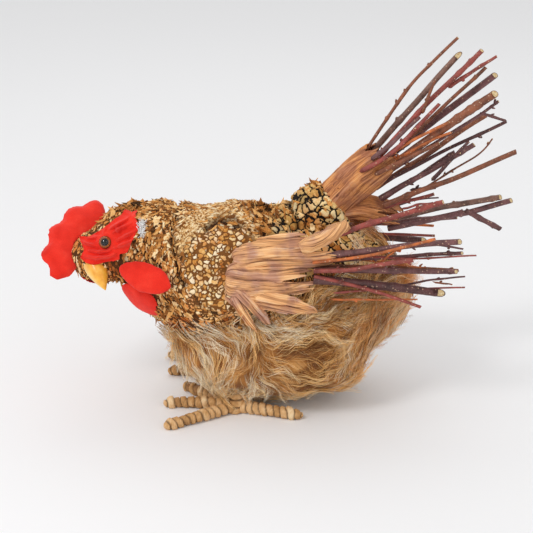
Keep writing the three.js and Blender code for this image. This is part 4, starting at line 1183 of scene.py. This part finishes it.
class TwigMesh:
    def __init__(self):
        self.vertices, self.faces, self.kinds, self.tones = [], [], [], []
        self.chance = random.Random(twigs["seed"])

    def add(self, line, radius, code, oblique=0.25, tipShare=0.92, columns=None):
        chance, columns = self.chance, columns or twigs["columns"]
        length = sum((b - a).length for a, b in zip(line, line[1:]))
        rings = max(int(length / (twigs["ringStep"] * mm)), 4)
        path = smoothLine(line, rings)
        knots = [chance.uniform(0.12, 0.95) for _ in range(chance.randint(1, 1 + int(length / 0.03)))]
        seed = chance.uniform(0, 90)
        slantAt = None if oblique > 0.4 else chance.uniform(0, 6.3)
        colour = tone(twigs["palette"][code])
        base = len(self.vertices)
        up = Vector((0, 1, 0.1))
        for i, centre in enumerate(path):
            share = i / (rings - 1)
            way = wayAt(path, i)
            side = way.cross(up).normalized()
            over = side.cross(way)
            if slantAt is None:
                away = Vector((0.2, 0.9, -0.4))
                slantAt = math.atan2(over.dot(away), side.dot(away))
            wander = Vector((0, noise.noise(Vector((share * 3, seed, 1))), noise.noise(Vector((share * 3, seed, 9)))))
            middle = centre + wander * twigs["wiggle"] * mm * math.sin(math.pi * share) * 2
            girth = radius * (1.06 - (1.06 - tipShare) * share)
            for knot in knots:
                away = (share - knot) * length / (twigs["knotSpan"] * mm)
                girth += radius * twigs["knotHeight"] * math.exp(-away ** 2)
            girth *= ease(share * 10 + 0.3) if columns == 7 else 1
            for column in range(columns):
                angle = 2 * math.pi * column / columns
                place = Vector((math.cos(angle), math.sin(angle), share * length * 300 + seed))
                rough = 1 + 0.05 * noise.noise(place)
                spot = middle + (side * math.cos(angle) + over * math.sin(angle)) * girth * rough
                if i == rings - 1:
                    spot += way * oblique * girth * math.cos(angle - slantAt)
                self.vertices.append(spot)
                self.tones.append(colour)
        self.faces += gridFaces(rings, columns, base, closed=True)
        self.kinds += [0] * ((rings - 1) * columns)
        last = base + (rings - 1) * columns
        tips = [self.vertices[last + c] for c in range(columns)]
        heart = sum(tips, Vector()) / columns
        lip = len(self.vertices)
        for spot in tips:
            self.vertices.append(spot.lerp(heart, 0.16))
            self.tones.append(colour)
        self.vertices.append(heart)
        self.tones.append(colour)
        for c in range(columns):
            after = (c + 1) % columns
            self.faces.append((last + c, last + after, lip + after, lip + c))
            self.faces.append((lip + c, lip + after, lip + columns))
            self.kinds += [0, 1]
        self.faces.append(tuple(base + c for c in reversed(range(columns))))
        self.kinds.append(0)
        for knot in knots:
            self.bud(path, knot, radius, colour)

    def bud(self, path, share, radius, colour):
        chance = self.chance
        index = clamp(int(share * (len(path) - 1)), 1, len(path) - 2)
        way = (path[index + 1] - path[index - 1]).normalized()
        angle = chance.uniform(0, 6.3)
        out = Quaternion(way, angle) @ way.cross(Vector((0, 1, 0.3))).normalized()
        length, girth = chance.uniform(1.6, 3.6) * mm, chance.uniform(0.8, 1.0 + radius / mm * 0.28) * mm
        lean = (out + way * 0.9).normalized()
        root = path[index] + out * radius * 0.75
        side = lean.cross(way + Vector((0.01, 0.02, 0.03))).normalized()
        over = lean.cross(side)
        base = len(self.vertices)
        pale = chance.random() < 0.6
        for distance, size in ((0, 1.0), (0.45, 0.95), (1.0, 0.5)):
            for column in range(6):
                turn = 2 * math.pi * column / 6
                self.vertices.append(root + lean * distance * length
                                     + (side * math.cos(turn) + over * math.sin(turn)) * size * girth)
                self.tones.append(colour)
        self.faces += gridFaces(3, 6, base, closed=True)
        self.kinds += [0] * 12
        self.faces.append(tuple(range(base + 12, base + 18)))
        self.kinds.append(1 if pale else 0)
        self.faces.append(tuple(reversed(range(base, base + 6))))
        self.kinds.append(0)

    def piece(self, name):
        piece = newPiece(name, self.vertices, self.faces, twigMaterial, cutMaterial)
        piece.data.polygons.foreach_set("material_index", self.kinds)
        sharp = [kind == 0 for kind in self.kinds]
        piece.data.polygons.foreach_set("use_smooth", sharp)
        recalculated(piece)
        keepValues(piece, "barkTone", self.tones, "FLOAT_COLOR")
        return piece


def makeTwigs():
    fans = (("tail", "tail_twig_", at(29, 0, 144)), ("left", "left_wing_twig_", at(-25, -60, 132)),
            ("right", "right_wing_twig_", at(-25, 60, 132)))
    for fan, prefix, centre in fans:
        mesh = TwigMesh()
        nodes = [f"{prefix}{number + 1}" for number in range(len(twigs[fan]))]
        for node, code in zip(nodes, twigs[fan]):
            line, radius, fork = rodOf(node, centre)
            mesh.add(line, radius, code, twigs["oblique"].get(node, 0.25))
            if fork:
                whole = line[-1] - line[0]
                share = 0.84 if node == "tail_twig_8" else 0.63
                mesh.add([line[0] + whole * share, fork], radius * 0.9, code)
        dress(mesh.piece(f"{fan}Twigs"), "twig", *nodes)
    thin = TwigMesh()
    for points, across, code in twigs["thin"]:
        thin.add([at(*p) for p in points], across / 2 * mm, code, tipShare=0.7, columns=7)
    dress(thin.piece("thinTwigs"), "twig")


twigMaterial, cutMaterial = makeTwigMaterials()
makeTwigs()

# Comb and wattles: red cotton sewn and stuffed, with a seam round the rim
stuffed = {
    "voxel": 1.4, "smoothing": 4, "pressure": 3.0, "frames": 14, "mostMove": 2.2, "seam": 0.7, "pucker": 5.0,
    "thread": 0.45,
}


def makeClothMaterial():
    # plain woven cotton dyed scarlet: matt with a faint fuzz; threads drawn coarser than real to show
    material, tree, shader = newMaterial("scarletCotton", {
        "Roughness": 0.88, "IOR": 1.46, "Sheen Weight": 0.15, "Sheen Roughness": 0.5, "Specular IOR Level": 0.2})
    place = addNode(tree, "TexCoord").outputs["Object"]
    clouds = addNode(tree, "TexNoise", {"Vector": place, "Scale": 1 / (14 * mm), "Detail": 4.0})
    weave = addNode(tree, "TexNoise", {"Vector": place, "Scale": 1 / (stuffed["thread"] * mm),
                    "Detail": 2.0})
    ramp = addNode(tree, "ValToRGB", [clouds], ramp=[(0.3, "dc2516"), (0.55, "ee3020"), (0.8, "f8412e")])
    speck = addNode(tree, "MapRange", [weave, 0.3, 0.7, 0.86, 1.08])
    shaded = addNode(tree, "VectorMath", {0: ramp, "Scale": speck}, operation="SCALE")
    bump = addNode(tree, "Bump", {"Strength": 0.35, "Distance": 0.25 * mm, "Height": weave})
    connect(shader, {"Base Color": shaded, "Normal": bump})
    return material


def swell(piece, sizes):
    before = vertexValues(piece, "co")
    cloth = piece.modifiers.new("stuffing", "CLOTH")
    cloth.settings.use_pressure = True
    cloth.settings.uniform_pressure_force = sizes["pressure"]
    cloth.settings.effector_weights.gravity = 0
    cloth.settings.quality = 4
    cloth.point_cache.frame_start = 1
    cloth.point_cache.frame_end = sizes["frames"]
    for number in range(1, sizes["frames"] + 1):
        scene.frame_set(number)
    settle(piece)
    scene.frame_set(1)
    after = vertexValues(piece, "co")
    moved = after - before
    size = np.linalg.norm(moved, axis=1)
    cap = np.minimum(1, sizes["mostMove"] * mm / np.maximum(size, 1e-9))
    moveTo(piece, before + moved * cap[:, None])


def makeStuffed(name, node, planeAt, planeWay, sizes):
    piece = remeshed(name, sizes["voxel"], sizes["smoothing"], node)
    swell(piece, sizes)
    points, normals = vertexValues(piece, "co"), vertexValues(piece, "normal")
    off = (points - np.array(planeAt)) @ np.array(planeWay)
    rim = np.exp(-(off / (1.1 * mm)) ** 2)
    facing = 1 - np.abs(normals @ np.array(planeWay))
    ripple = np.array([noise.noise(Vector(p) / (sizes["pucker"] * mm)) for p in points])
    broad = np.array([noise.noise(Vector(p) / (17 * mm)) for p in points])
    crease = np.exp(-((points - np.array(planeAt)) @ np.array(planeWay.cross(beakWay)) / (1.6 * mm)) ** 2)
    ripple = ripple - crease * (off > 0) * (2.4 if "Wattle" in name else 0)
    reach = rim * facing * sizes["seam"] + ripple * 0.5 * np.exp(-(off / (4 * mm)) ** 2) * facing + broad * 0.7
    moveTo(piece, points + normals * (reach * mm)[:, None])
    piece.data.materials.clear()
    piece.data.materials.append(clothMaterial)
    fine = piece.modifiers.new("fine", "SUBSURF")
    fine.levels = fine.render_levels = 1
    settle(piece)
    piece.data.polygons.foreach_set("use_smooth", [True] * len(piece.data.polygons))
    dress(piece, "red_cloth", node)
    return piece


clothMaterial = makeClothMaterial()
makeStuffed("stuffedComb", "comb", headAt, cheekWay, stuffed)
for wattleName, facing in (("left", (0.2, -0.9, 0.3)), ("right", (0.1, -0.8, -0.5))):
    makeStuffed(f"{wattleName}Wattle", f"{wattleName}_wattle", middleOf(f"{wattleName}_wattle"),
                Vector(facing).normalized(), stuffed)

# Cheek patches: loose cut cotton gathered round each eye and glued in folds
patch = {
    "rings": 32, "spokes": 150, "stand": 0.7, "thickness": 0.5, "hole": 4.6, "grid": 1.0, "reach": 34,
    "left": [  # outline right and up of the eye, mm, seen square on
        (-23, 5.1), (-20.4, -0.9), (-17.9, -6), (-21.3, -12.8), (-16.2, -17), (-9.4, -18.7), (-0.9, -16.2),
        (6.8, -15.3), (11.9, -14), (11.9, -9.8), (18.7, -8.5), (22.1, -0.9), (28, 11), (24.7, 23.8), (25.9, 27.2),
        (21.3, 25.5), (15.6, 28), (12.8, 23.4), (10.2, 21.3), (4.3, 17), (-0.9, 12.8), (-7.7, 8.5), (-14.5, 5.1)],
    "right": [(14, 0), (12, 9), (3, 15), (-8, 17), (-19, 9), (-22, -3), (-14, -13), (0, -15), (11, -10)],
    "leftFolds": [  # points right and up of the eye, height and half width
        ([(4.3, 11.6), (17.9, 19.1)], 2.2, 1.4), ([(7.3, 8.5), (20.9, 16.2)], 1.9, 1.3),
        ([(8.8, -4.3), (25.5, 1.7)], 2.0, 1.4), ([(11, 1.7), (25.5, 9.4)], 1.7, 1.3),
        ([(-13.2, -6.8), (-6, -8.1), (0.9, -7.7), (7.7, -4.3)], 2.0, 1.3),
        ([(-16.2, -11), (-7.7, -12.8), (1.7, -11.9), (9.4, -8.5)], 1.9, 1.4),
        ([(-20.8, 0.9), (-7.7, -3.4)], 1.8, 1.3), ([(-14.5, 3.4), (-5.1, 5.1)], 1.5, 1.2),
        ([(9.4, 13.6), (11.9, 6.8)], 1.5, 1.2)],
    "rightFolds": [([(8, 3), (13, 8)], 1.5, 1.3), ([(-7, 6), (-17, 12)], 1.8, 1.4), ([(-8, -3), (-20, -6)], 1.8, 1.4),
                   ([(0, -8), (-4, -14)], 1.4, 1.2), ([(4, 8), (0, 14)], 1.4, 1.2)],
}


def foldHeight(a, b, folds):
    total = 0
    for line, height, width in folds:
        best, place = 99, 0
        for number, ((a0, b0), (a1, b1)) in enumerate(zip(line, line[1:])):
            spanA, spanB = a1 - a0, b1 - b0
            t = clamp(((a - a0) * spanA + (b - b0) * spanB) / (spanA ** 2 + spanB ** 2))
            away = math.hypot(a - a0 - spanA * t, b - b0 - spanB * t)
            if away < best:
                best, place = away, (number + t) / (len(line) - 1)
        total += height * math.sin(math.pi * clamp(place * 0.8 + 0.12)) * math.exp(-(best / width) ** 2)
        total -= 0.35 * height * math.exp(-((best - 2.1 * width) / width) ** 2)
    return total * 2


def skinHeights(skin, middle, right, up, over):
    # how far the bark stands out over the eye's middle, mm, as a smooth envelope on a square grid
    count = int(2 * patch["reach"] / patch["grid"]) + 1
    field = np.full((count, count), -13.0)
    for i in range(count):
        for j in range(count):
            spot = middle + (right * (i * patch["grid"] - patch["reach"]) + up * (j * patch["grid"] - patch["reach"])
                             + over * 60) * mm
            hit = skin.ray_cast(spot, -over)[0]
            if hit is not None:
                field[i, j] = max((hit - middle).dot(over) / mm, -13)
    for reach, pick in ((1, "max"), (1, "max"), (2, "mean"), (1, "mean")):
        moved = [np.roll(field, (a, b), (0, 1)) for a in range(-reach, reach + 1) for b in range(-reach, reach + 1)]
        field = np.max(moved, axis=0) if pick == "max" else np.mean(moved, axis=0)
    return field


def makePatch(name, right, up, over):
    middle = middleOf(f"{name}_eye")
    field = skinHeights(finishedBark, middle, right, up, over)
    corners = np.array(patch[name] + patch[name][:1], float)
    walked = np.concatenate([[0], np.cumsum(np.linalg.norm(np.diff(corners, axis=0), axis=1))])
    steps = np.arange(patch["spokes"]) / patch["spokes"] * walked[-1]
    rim = np.stack([np.interp(steps, walked, corners[:, 0]), np.interp(steps, walked, corners[:, 1])], axis=1)
    vertices = []
    for ring in range(patch["rings"] + 1):
        share = ring / patch["rings"]
        for a, b in rim:
            angle = math.atan2(b, a)
            fray = 1 + share ** 6 * 0.03 * noise.noise(Vector((a * 0.8, b * 0.8, 3)))
            a = (patch["hole"] * math.cos(angle) * (1 - share) + a * share) * fray
            b = (patch["hole"] * math.sin(angle) * (1 - share) + b * share) * fray
            i, j = (clamp((value + patch["reach"]) / patch["grid"], 0, len(field) - 2) for value in (a, b))
            i0, j0 = int(i), int(j)
            rows = field[i0, j0:j0 + 2] * (1 - i + i0) + field[i0 + 1, j0:j0 + 2] * (i - i0)
            height = rows[0] * (1 - j + j0) + rows[1] * (j - j0) + patch["stand"]
            height += foldHeight(a, b, patch[f"{name}Folds"])
            height += 0.9 * noise.noise(Vector((a / 4, b / 4, 3))) + 0.3 * noise.noise(Vector((a / 1.7, b / 1.7, 7)))
            height += 2.2 - 3.4 * math.sqrt(abs(noise.noise(Vector((a / 9, b / 6, 21)))) + 0.02)
            socket = ease(1 - (math.hypot(a, b) - patch["hole"]) / 4.5)
            height = max(height * (1 - socket) - 0.6 * socket, rows[0] * (1 - j + j0) + rows[1] * (j - j0) + 0.3)
            height += 1.4 * ease((share - 0.85) / 0.15) * noise.noise(Vector((a / 5, b / 5, 2)))
            vertices.append(middle + (right * a + up * b + over * height) * mm)
    faces = [face[::-1] for face in gridFaces(patch["rings"] + 1, patch["spokes"], closed=True)]
    piece = newPiece(f"{name}CheekPatch", vertices, faces, clothMaterial)
    thicken(piece, patch["thickness"])
    dress(piece, "red_cloth", f"{name}_cheek_patch")
    return piece


tuft = {"seed": 5, "fibres": 130, "right": (27, 31), "up": (7, 17), "reach": 5.5, "radius": 0.26}


def makeTuft(sizes):
    # white cotton stuffing: loose and matt, shows past the rear edge of the left patch
    material, tree, shader = newMaterial("whiteCotton", {"Roughness": 0.95, "Sheen Weight": 0.3})
    place = addNode(tree, "TexCoord").outputs["Object"]
    clouds = addNode(tree, "TexNoise", {"Vector": place, "Scale": 1 / (2 * mm)})
    ramp = addNode(tree, "ValToRGB", [clouds], ramp=[(0.3, "f0ece6"), (0.6, "ffffff")])
    connect(shader, {"Base Color": ramp})
    draw = random.Random(sizes["seed"])
    middle = middleOf("left_eye")
    right, up, over = squareOn
    fibres = []
    for number in range(sizes["fibres"]):
        a, b = draw.uniform(*sizes["right"]), draw.uniform(*sizes["up"])
        root = finishedBark.ray_cast(middle + (right * a + up * b + over * 60) * mm, -over)[0]
        turn, reach = draw.uniform(-1.4, 1.4), draw.uniform(2, sizes["reach"])
        line = [root + (right * math.cos(turn * (0.4 + t)) * reach * t + up * math.sin(turn * (0.4 + t)) * reach * t
                        + over * (1.0 + draw.uniform(0.8, 3.4) * t)) * mm for t in (0, 0.33, 0.66, 1)]
        fibres.append(makeRod("fibre", line, [sizes["radius"] * mm] * 4, 3, material, 0, number))
    dress(joined("whiteTuft", fibres), "red_cloth")


finishedBark = targetOfPiece(barkBody)
squareOn = [Vector(way) for way in ((1, 0, 0), (0, 0.342, 0.94), (0, -0.94, 0.342))]  # right, up and to the camera
makeTuft(tuft)
makePatch("left", *squareOn)
makePatch("right", beakWay, crownWay, -cheekWay)

# Eyes: a clear glass ball with a painted amber disc and a black pupil inside
eye = {"iris": 0.93, "flat": 0.3, "rings": 32, "lookLeft": (-0.12, -0.9, 0.42), "lookRight": (-0.4, 0.85, -0.1)}


def ball(name, centre, radius, material, rings):
    work = bmesh.new()
    bmesh.ops.create_uvsphere(work, u_segments=rings * 2, v_segments=rings, radius=radius)
    bmesh.ops.translate(work, verts=work.verts, vec=centre)
    mesh = bpy.data.meshes.new(name)
    work.to_mesh(mesh)
    work.free()
    mesh.materials.append(material)
    mesh.polygons.foreach_set("use_smooth", [True] * len(mesh.polygons))
    return newObject(name, mesh)


def makeEye(name, look):
    low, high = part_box(f"{name}_eye")
    centre = middleOf(f"{name}_eye")
    radius = max(Vector(high) - Vector(low)) / 2
    way = Vector(look).normalized()
    # painted disc inside the glass: satin, amber round a wide black pupil
    paint, tree, shader = newMaterial(f"{name}AmberIris", {"Roughness": 0.6, "Specular IOR Level": 0.2})
    place = addNode(tree, "TexCoord").outputs["Object"]
    local = addNode(tree, "VectorMath", [place, centre], operation="SUBTRACT")
    aside = addNode(tree, "VectorMath", [local, way], operation="CROSS_PRODUCT")
    far = addNode(tree, "VectorMath", [aside], operation="LENGTH")
    share = addNode(tree, "Math", [far.outputs["Value"], radius], operation="DIVIDE")
    ramp = addNode(tree, "ValToRGB", [share], ramp=[(0.0, "030303"), (0.40, "060505"), (0.45, "7a3a15"),
                   (0.58, "c87430"), (0.7, "8a4419"), (0.8, "2c150b")])
    connect(shader, {"Base Color": ramp})
    # clear glass: polished
    glass, _, _ = newMaterial(f"{name}ClearGlass", {
        "Roughness": 0.02, "IOR": 1.5, "Transmission Weight": 1.0, "Base Color": (1, 0.96, 0.92, 1)})
    disc = ball(f"{name}Iris", centre, radius * eye["iris"], paint, eye["rings"])
    for vertex in disc.data.vertices:
        out = (vertex.co - centre).dot(way)
        vertex.co -= way * (out * (1 - eye["flat"]) + radius * 0.12)
    dress(disc, "glass_eye")
    dress(ball(f"{name}EyeGlass", centre, radius, glass, eye["rings"]), "glass_eye", f"{name}_eye")


makeEye("left", eye["lookLeft"])
makeEye("right", eye["lookRight"])

# Beak: turned horn-like resin, upper half over the lower, with a ridge and a fine mouth line
beak = {"root": (-144, -20, 130), "tip": (-134, -42, 111), "width": 19.5, "rows": 26, "columns": 36, "ridge": 0.16}


def makeBeak(sizes):
    # cast resin painted orange yellow: satin, paler along its ridge
    material, tree, shader = newMaterial("castBeak", {"Roughness": 0.38, "IOR": 1.5, "Coat Weight": 0.15})
    place = addNode(tree, "TexCoord").outputs["Object"]
    ridge = addNode(tree, "Attribute", attribute_name="ridge").outputs["Fac"]
    clouds = addNode(tree, "TexNoise", {"Vector": place, "Scale": 1 / (5 * mm), "Detail": 4.0})
    ramp = addNode(tree, "ValToRGB", [clouds], ramp=[(0.3, "e89a2c"), (0.55, "f6b23c"), (0.8, "fcc860")])
    pale = addNode(tree, "Mix", {0: ridge, 6: ramp, 7: tone("f7dc98")}, data_type="RGBA")
    connect(shader, {"Base Color": pale})
    root, tip = at(*sizes["root"]), at(*sizes["tip"])
    span = tip - root
    way = span.normalized()
    side = way.cross(crownWay).normalized()
    up = side.cross(way).normalized()
    vertices, ridges = [], []
    for row in range(sizes["rows"]):
        s = row / (sizes["rows"] - 1)
        girth = sizes["width"] / 2 * mm * (math.cos(s * math.pi / 2) ** 0.82) * (0.9 + 0.1 * math.sin(math.pi * s))
        girth = max(girth, 0.02 * mm)
        centre = root + span * s - up * 1.6 * mm * s ** 2
        for column in range(sizes["columns"]):
            angle = 2 * math.pi * column / sizes["columns"]
            top = math.exp(-(((angle + math.pi) % (2 * math.pi) - math.pi) / 0.34) ** 2)
            mouth = math.exp(-((abs((angle + math.pi) % (2 * math.pi) - math.pi) - 2.0) / 0.09) ** 2)
            reach = girth * (1 + sizes["ridge"] * top - 0.08 * mouth * (1 - s))
            vertices.append(centre + (up * math.cos(angle) + side * math.sin(angle) * 0.92) * reach)
            ridges.append(top * 0.8)
    piece = newPiece("hornBeak", vertices, tubeFaces(sizes["rows"], sizes["columns"]), material)
    recalculated(piece)
    keepValues(piece, "ridge", ridges)
    return dress(piece, "beak_horn", "beak")


makeBeak(beak)

# Feet: wire toes wound with strips of dry leaf, each turn overlapping the one before
foot = {
    "columns": 26, "ringStep": 0.75, "pitch": 6.0, "radius": 5.8, "bulge": 0.42, "point": 9, "padRadius": 8,
}


def makeWrapMaterial():
    # dry leaf strips: fibrous and matt, straw to brown, with painted shade at the edges of each turn
    material, tree, shader = newMaterial("dryLeafStrip", {"Roughness": 0.7, "IOR": 1.46})
    way = addNode(tree, "UVMap", uv_map="grain")
    turn = addNode(tree, "Attribute", attribute_name="turn").outputs["Fac"]
    stretched = addNode(tree, "Mapping", {"Vector": way, "Scale": (1 / (0.5 * mm), 1 / (9 * mm), 1)})
    fibres = addNode(tree, "TexNoise", {"Vector": stretched, "Scale": 1.0, "Detail": 4.0})
    place = addNode(tree, "TexCoord").outputs["Object"]
    clouds = addNode(tree, "TexNoise", {"Vector": place, "Scale": 1 / (6 * mm), "Detail": 3.0})
    mixed = addNode(tree, "Mix", {0: 0.55, 2: fibres, 3: clouds}, data_type="FLOAT")
    tint = addNode(tree, "Attribute", attribute_name="tint").outputs["Fac"]
    shade = addNode(tree, "Math", [mixed, tint], operation="ADD")
    ramp = addNode(tree, "ValToRGB", [shade], ramp=[(0.2, "8a5f36"), (0.42, "c4935a"), (0.58, "e0b480"),
                   (0.75, "f2d6aa")])
    # darker near both edges of each turn: painted shade in the groove where one turn laps over the next
    seam = addNode(tree, "MapRange", [turn, 0.0, 0.3, 0.9, 0.0])
    final = addNode(tree, "Mix", {0: seam, 6: ramp, 7: tone("3f2916")}, data_type="RGBA")
    bump = addNode(tree, "Bump", {"Strength": 0.6, "Distance": 0.4 * mm, "Height": fibres})
    connect(shader, {"Base Color": final, "Normal": bump})
    return material


def windStrip(name, line, radii, slot, nodes, seed, brown=0.0, floorAt=None):
    columns = foot["columns"]
    vertices, uvs, turns, tints = [], [], [], []
    far = 0
    for i, centre in enumerate(line):
        way = wayAt(line, i)
        far += (centre - line[max(i - 1, 0)]).length
        side = way.cross(Vector((0, 0, 1)) if abs(way.z) < 0.8 else Vector((0, 1, 0))).normalized()
        up = side.cross(way)
        for column in range(columns):
            angle = 2 * math.pi * column / columns - math.pi / 2
            drift = 0.3 * noise.noise(Vector((far * 90, math.cos(angle) * 0.6, math.sin(angle) * 0.6 + seed)))
            wound = far / (foot["pitch"] * mm) + column / columns + drift
            turn = wound % 1.0
            odd = noise.noise(Vector((math.floor(wound) * 1.7 + 0.3, seed, 0.5)))
            rise = ease(turn / 0.25) * (1 - 0.25 * turn) * ease((1 - turn) / 0.1)
            radius = radii[i] * (1 - foot["bulge"] + foot["bulge"] * rise + 0.28 * odd)
            tints.append(brown + 0.3 * odd)
            radius *= 1 + 0.05 * noise.noise(Vector((math.cos(angle) * 2, math.sin(angle) * 2, far * 240 + seed)))
            spot = centre + (side * math.cos(angle) + up * math.sin(angle)) * radius
            if floorAt is not None:
                spot.z = max(spot.z, floorAt)
            vertices.append(spot)
            uvs.append((far + 0.004 * math.cos(angle), angle * radius))
            # nearness to the turn's edges, which the material darkens as painted shade
            turns.append(min(turn, 1 - turn) * 2)
    piece = newPiece(name, vertices, tubeFaces(len(line), columns), wrapMaterial)
    layGrain(piece, uvs)
    recalculated(piece)
    keepValues(piece, "turn", turns)
    keepValues(piece, "tint", tints)
    return dress(piece, slot, *nodes)


def makeFeet():
    for name, side in (("left", -1), ("right", 1)):
        centre = at(figure["footX"], side * figure["footSide"], 0)
        for order, toe in enumerate(("outer", "middle", "inner", "rear")):
            node = f"{name}_{toe}_toe"
            work = mergedCopy(node)
            points = [v.co.copy() for v in work.verts]
            work.free()
            tip = max(points, key=lambda p: (p - centre).length)
            tip.z = foot["radius"] * 0.62 * mm
            start = centre.copy()
            start.z = foot["radius"] * 0.95 * mm
            way = (tip - start).normalized()
            start += way * foot["padRadius"] * 0.55 * mm
            bend = way.cross(Vector((0, 0, 1))) * chanceOf.uniform(-2.4, 2.4) * mm
            middle = start.lerp(tip, 0.55) + bend + Vector((0, 0, 0.8 * mm))
            count = int((tip - start).length / (foot["ringStep"] * mm))
            line = smoothLine([start, middle, tip], count)
            radii = []
            for i in range(count):
                share = i / (count - 1)
                end = clamp((1 - share) * (tip - start).length / (foot["point"] * mm)) ** 0.6
                radii.append(foot["radius"] * mm * (0.98 - 0.08 * share) * (0.12 + 0.88 * end))
            brown = -0.16 * (side > 0) - 0.12 * (toe == "inner")
            windStrip(f"{name}{toe.capitalize()}Toe", line, radii, "wrap_strip", [node], order * 5.1 + side, brown,
                      0.0002)
        low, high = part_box(f"{name}_leg")
        count = int((high[2] - 0.0004) / (foot["ringStep"] * mm))
        line = [Vector((centre.x, centre.y, 0.0002 + (high[2] - 0.0004) * i / (count - 1))) for i in range(count)]
        radii = [mm * (8.2 - 2.6 * ease((p.z / mm - 8) / 8)) for p in line]
        windStrip(f"{name}Leg", line, radii, "wrap_strip", [f"{name}_leg"], 30 + side)


chanceOf = random.Random(8)
wrapMaterial = makeWrapMaterial()
makeFeet()
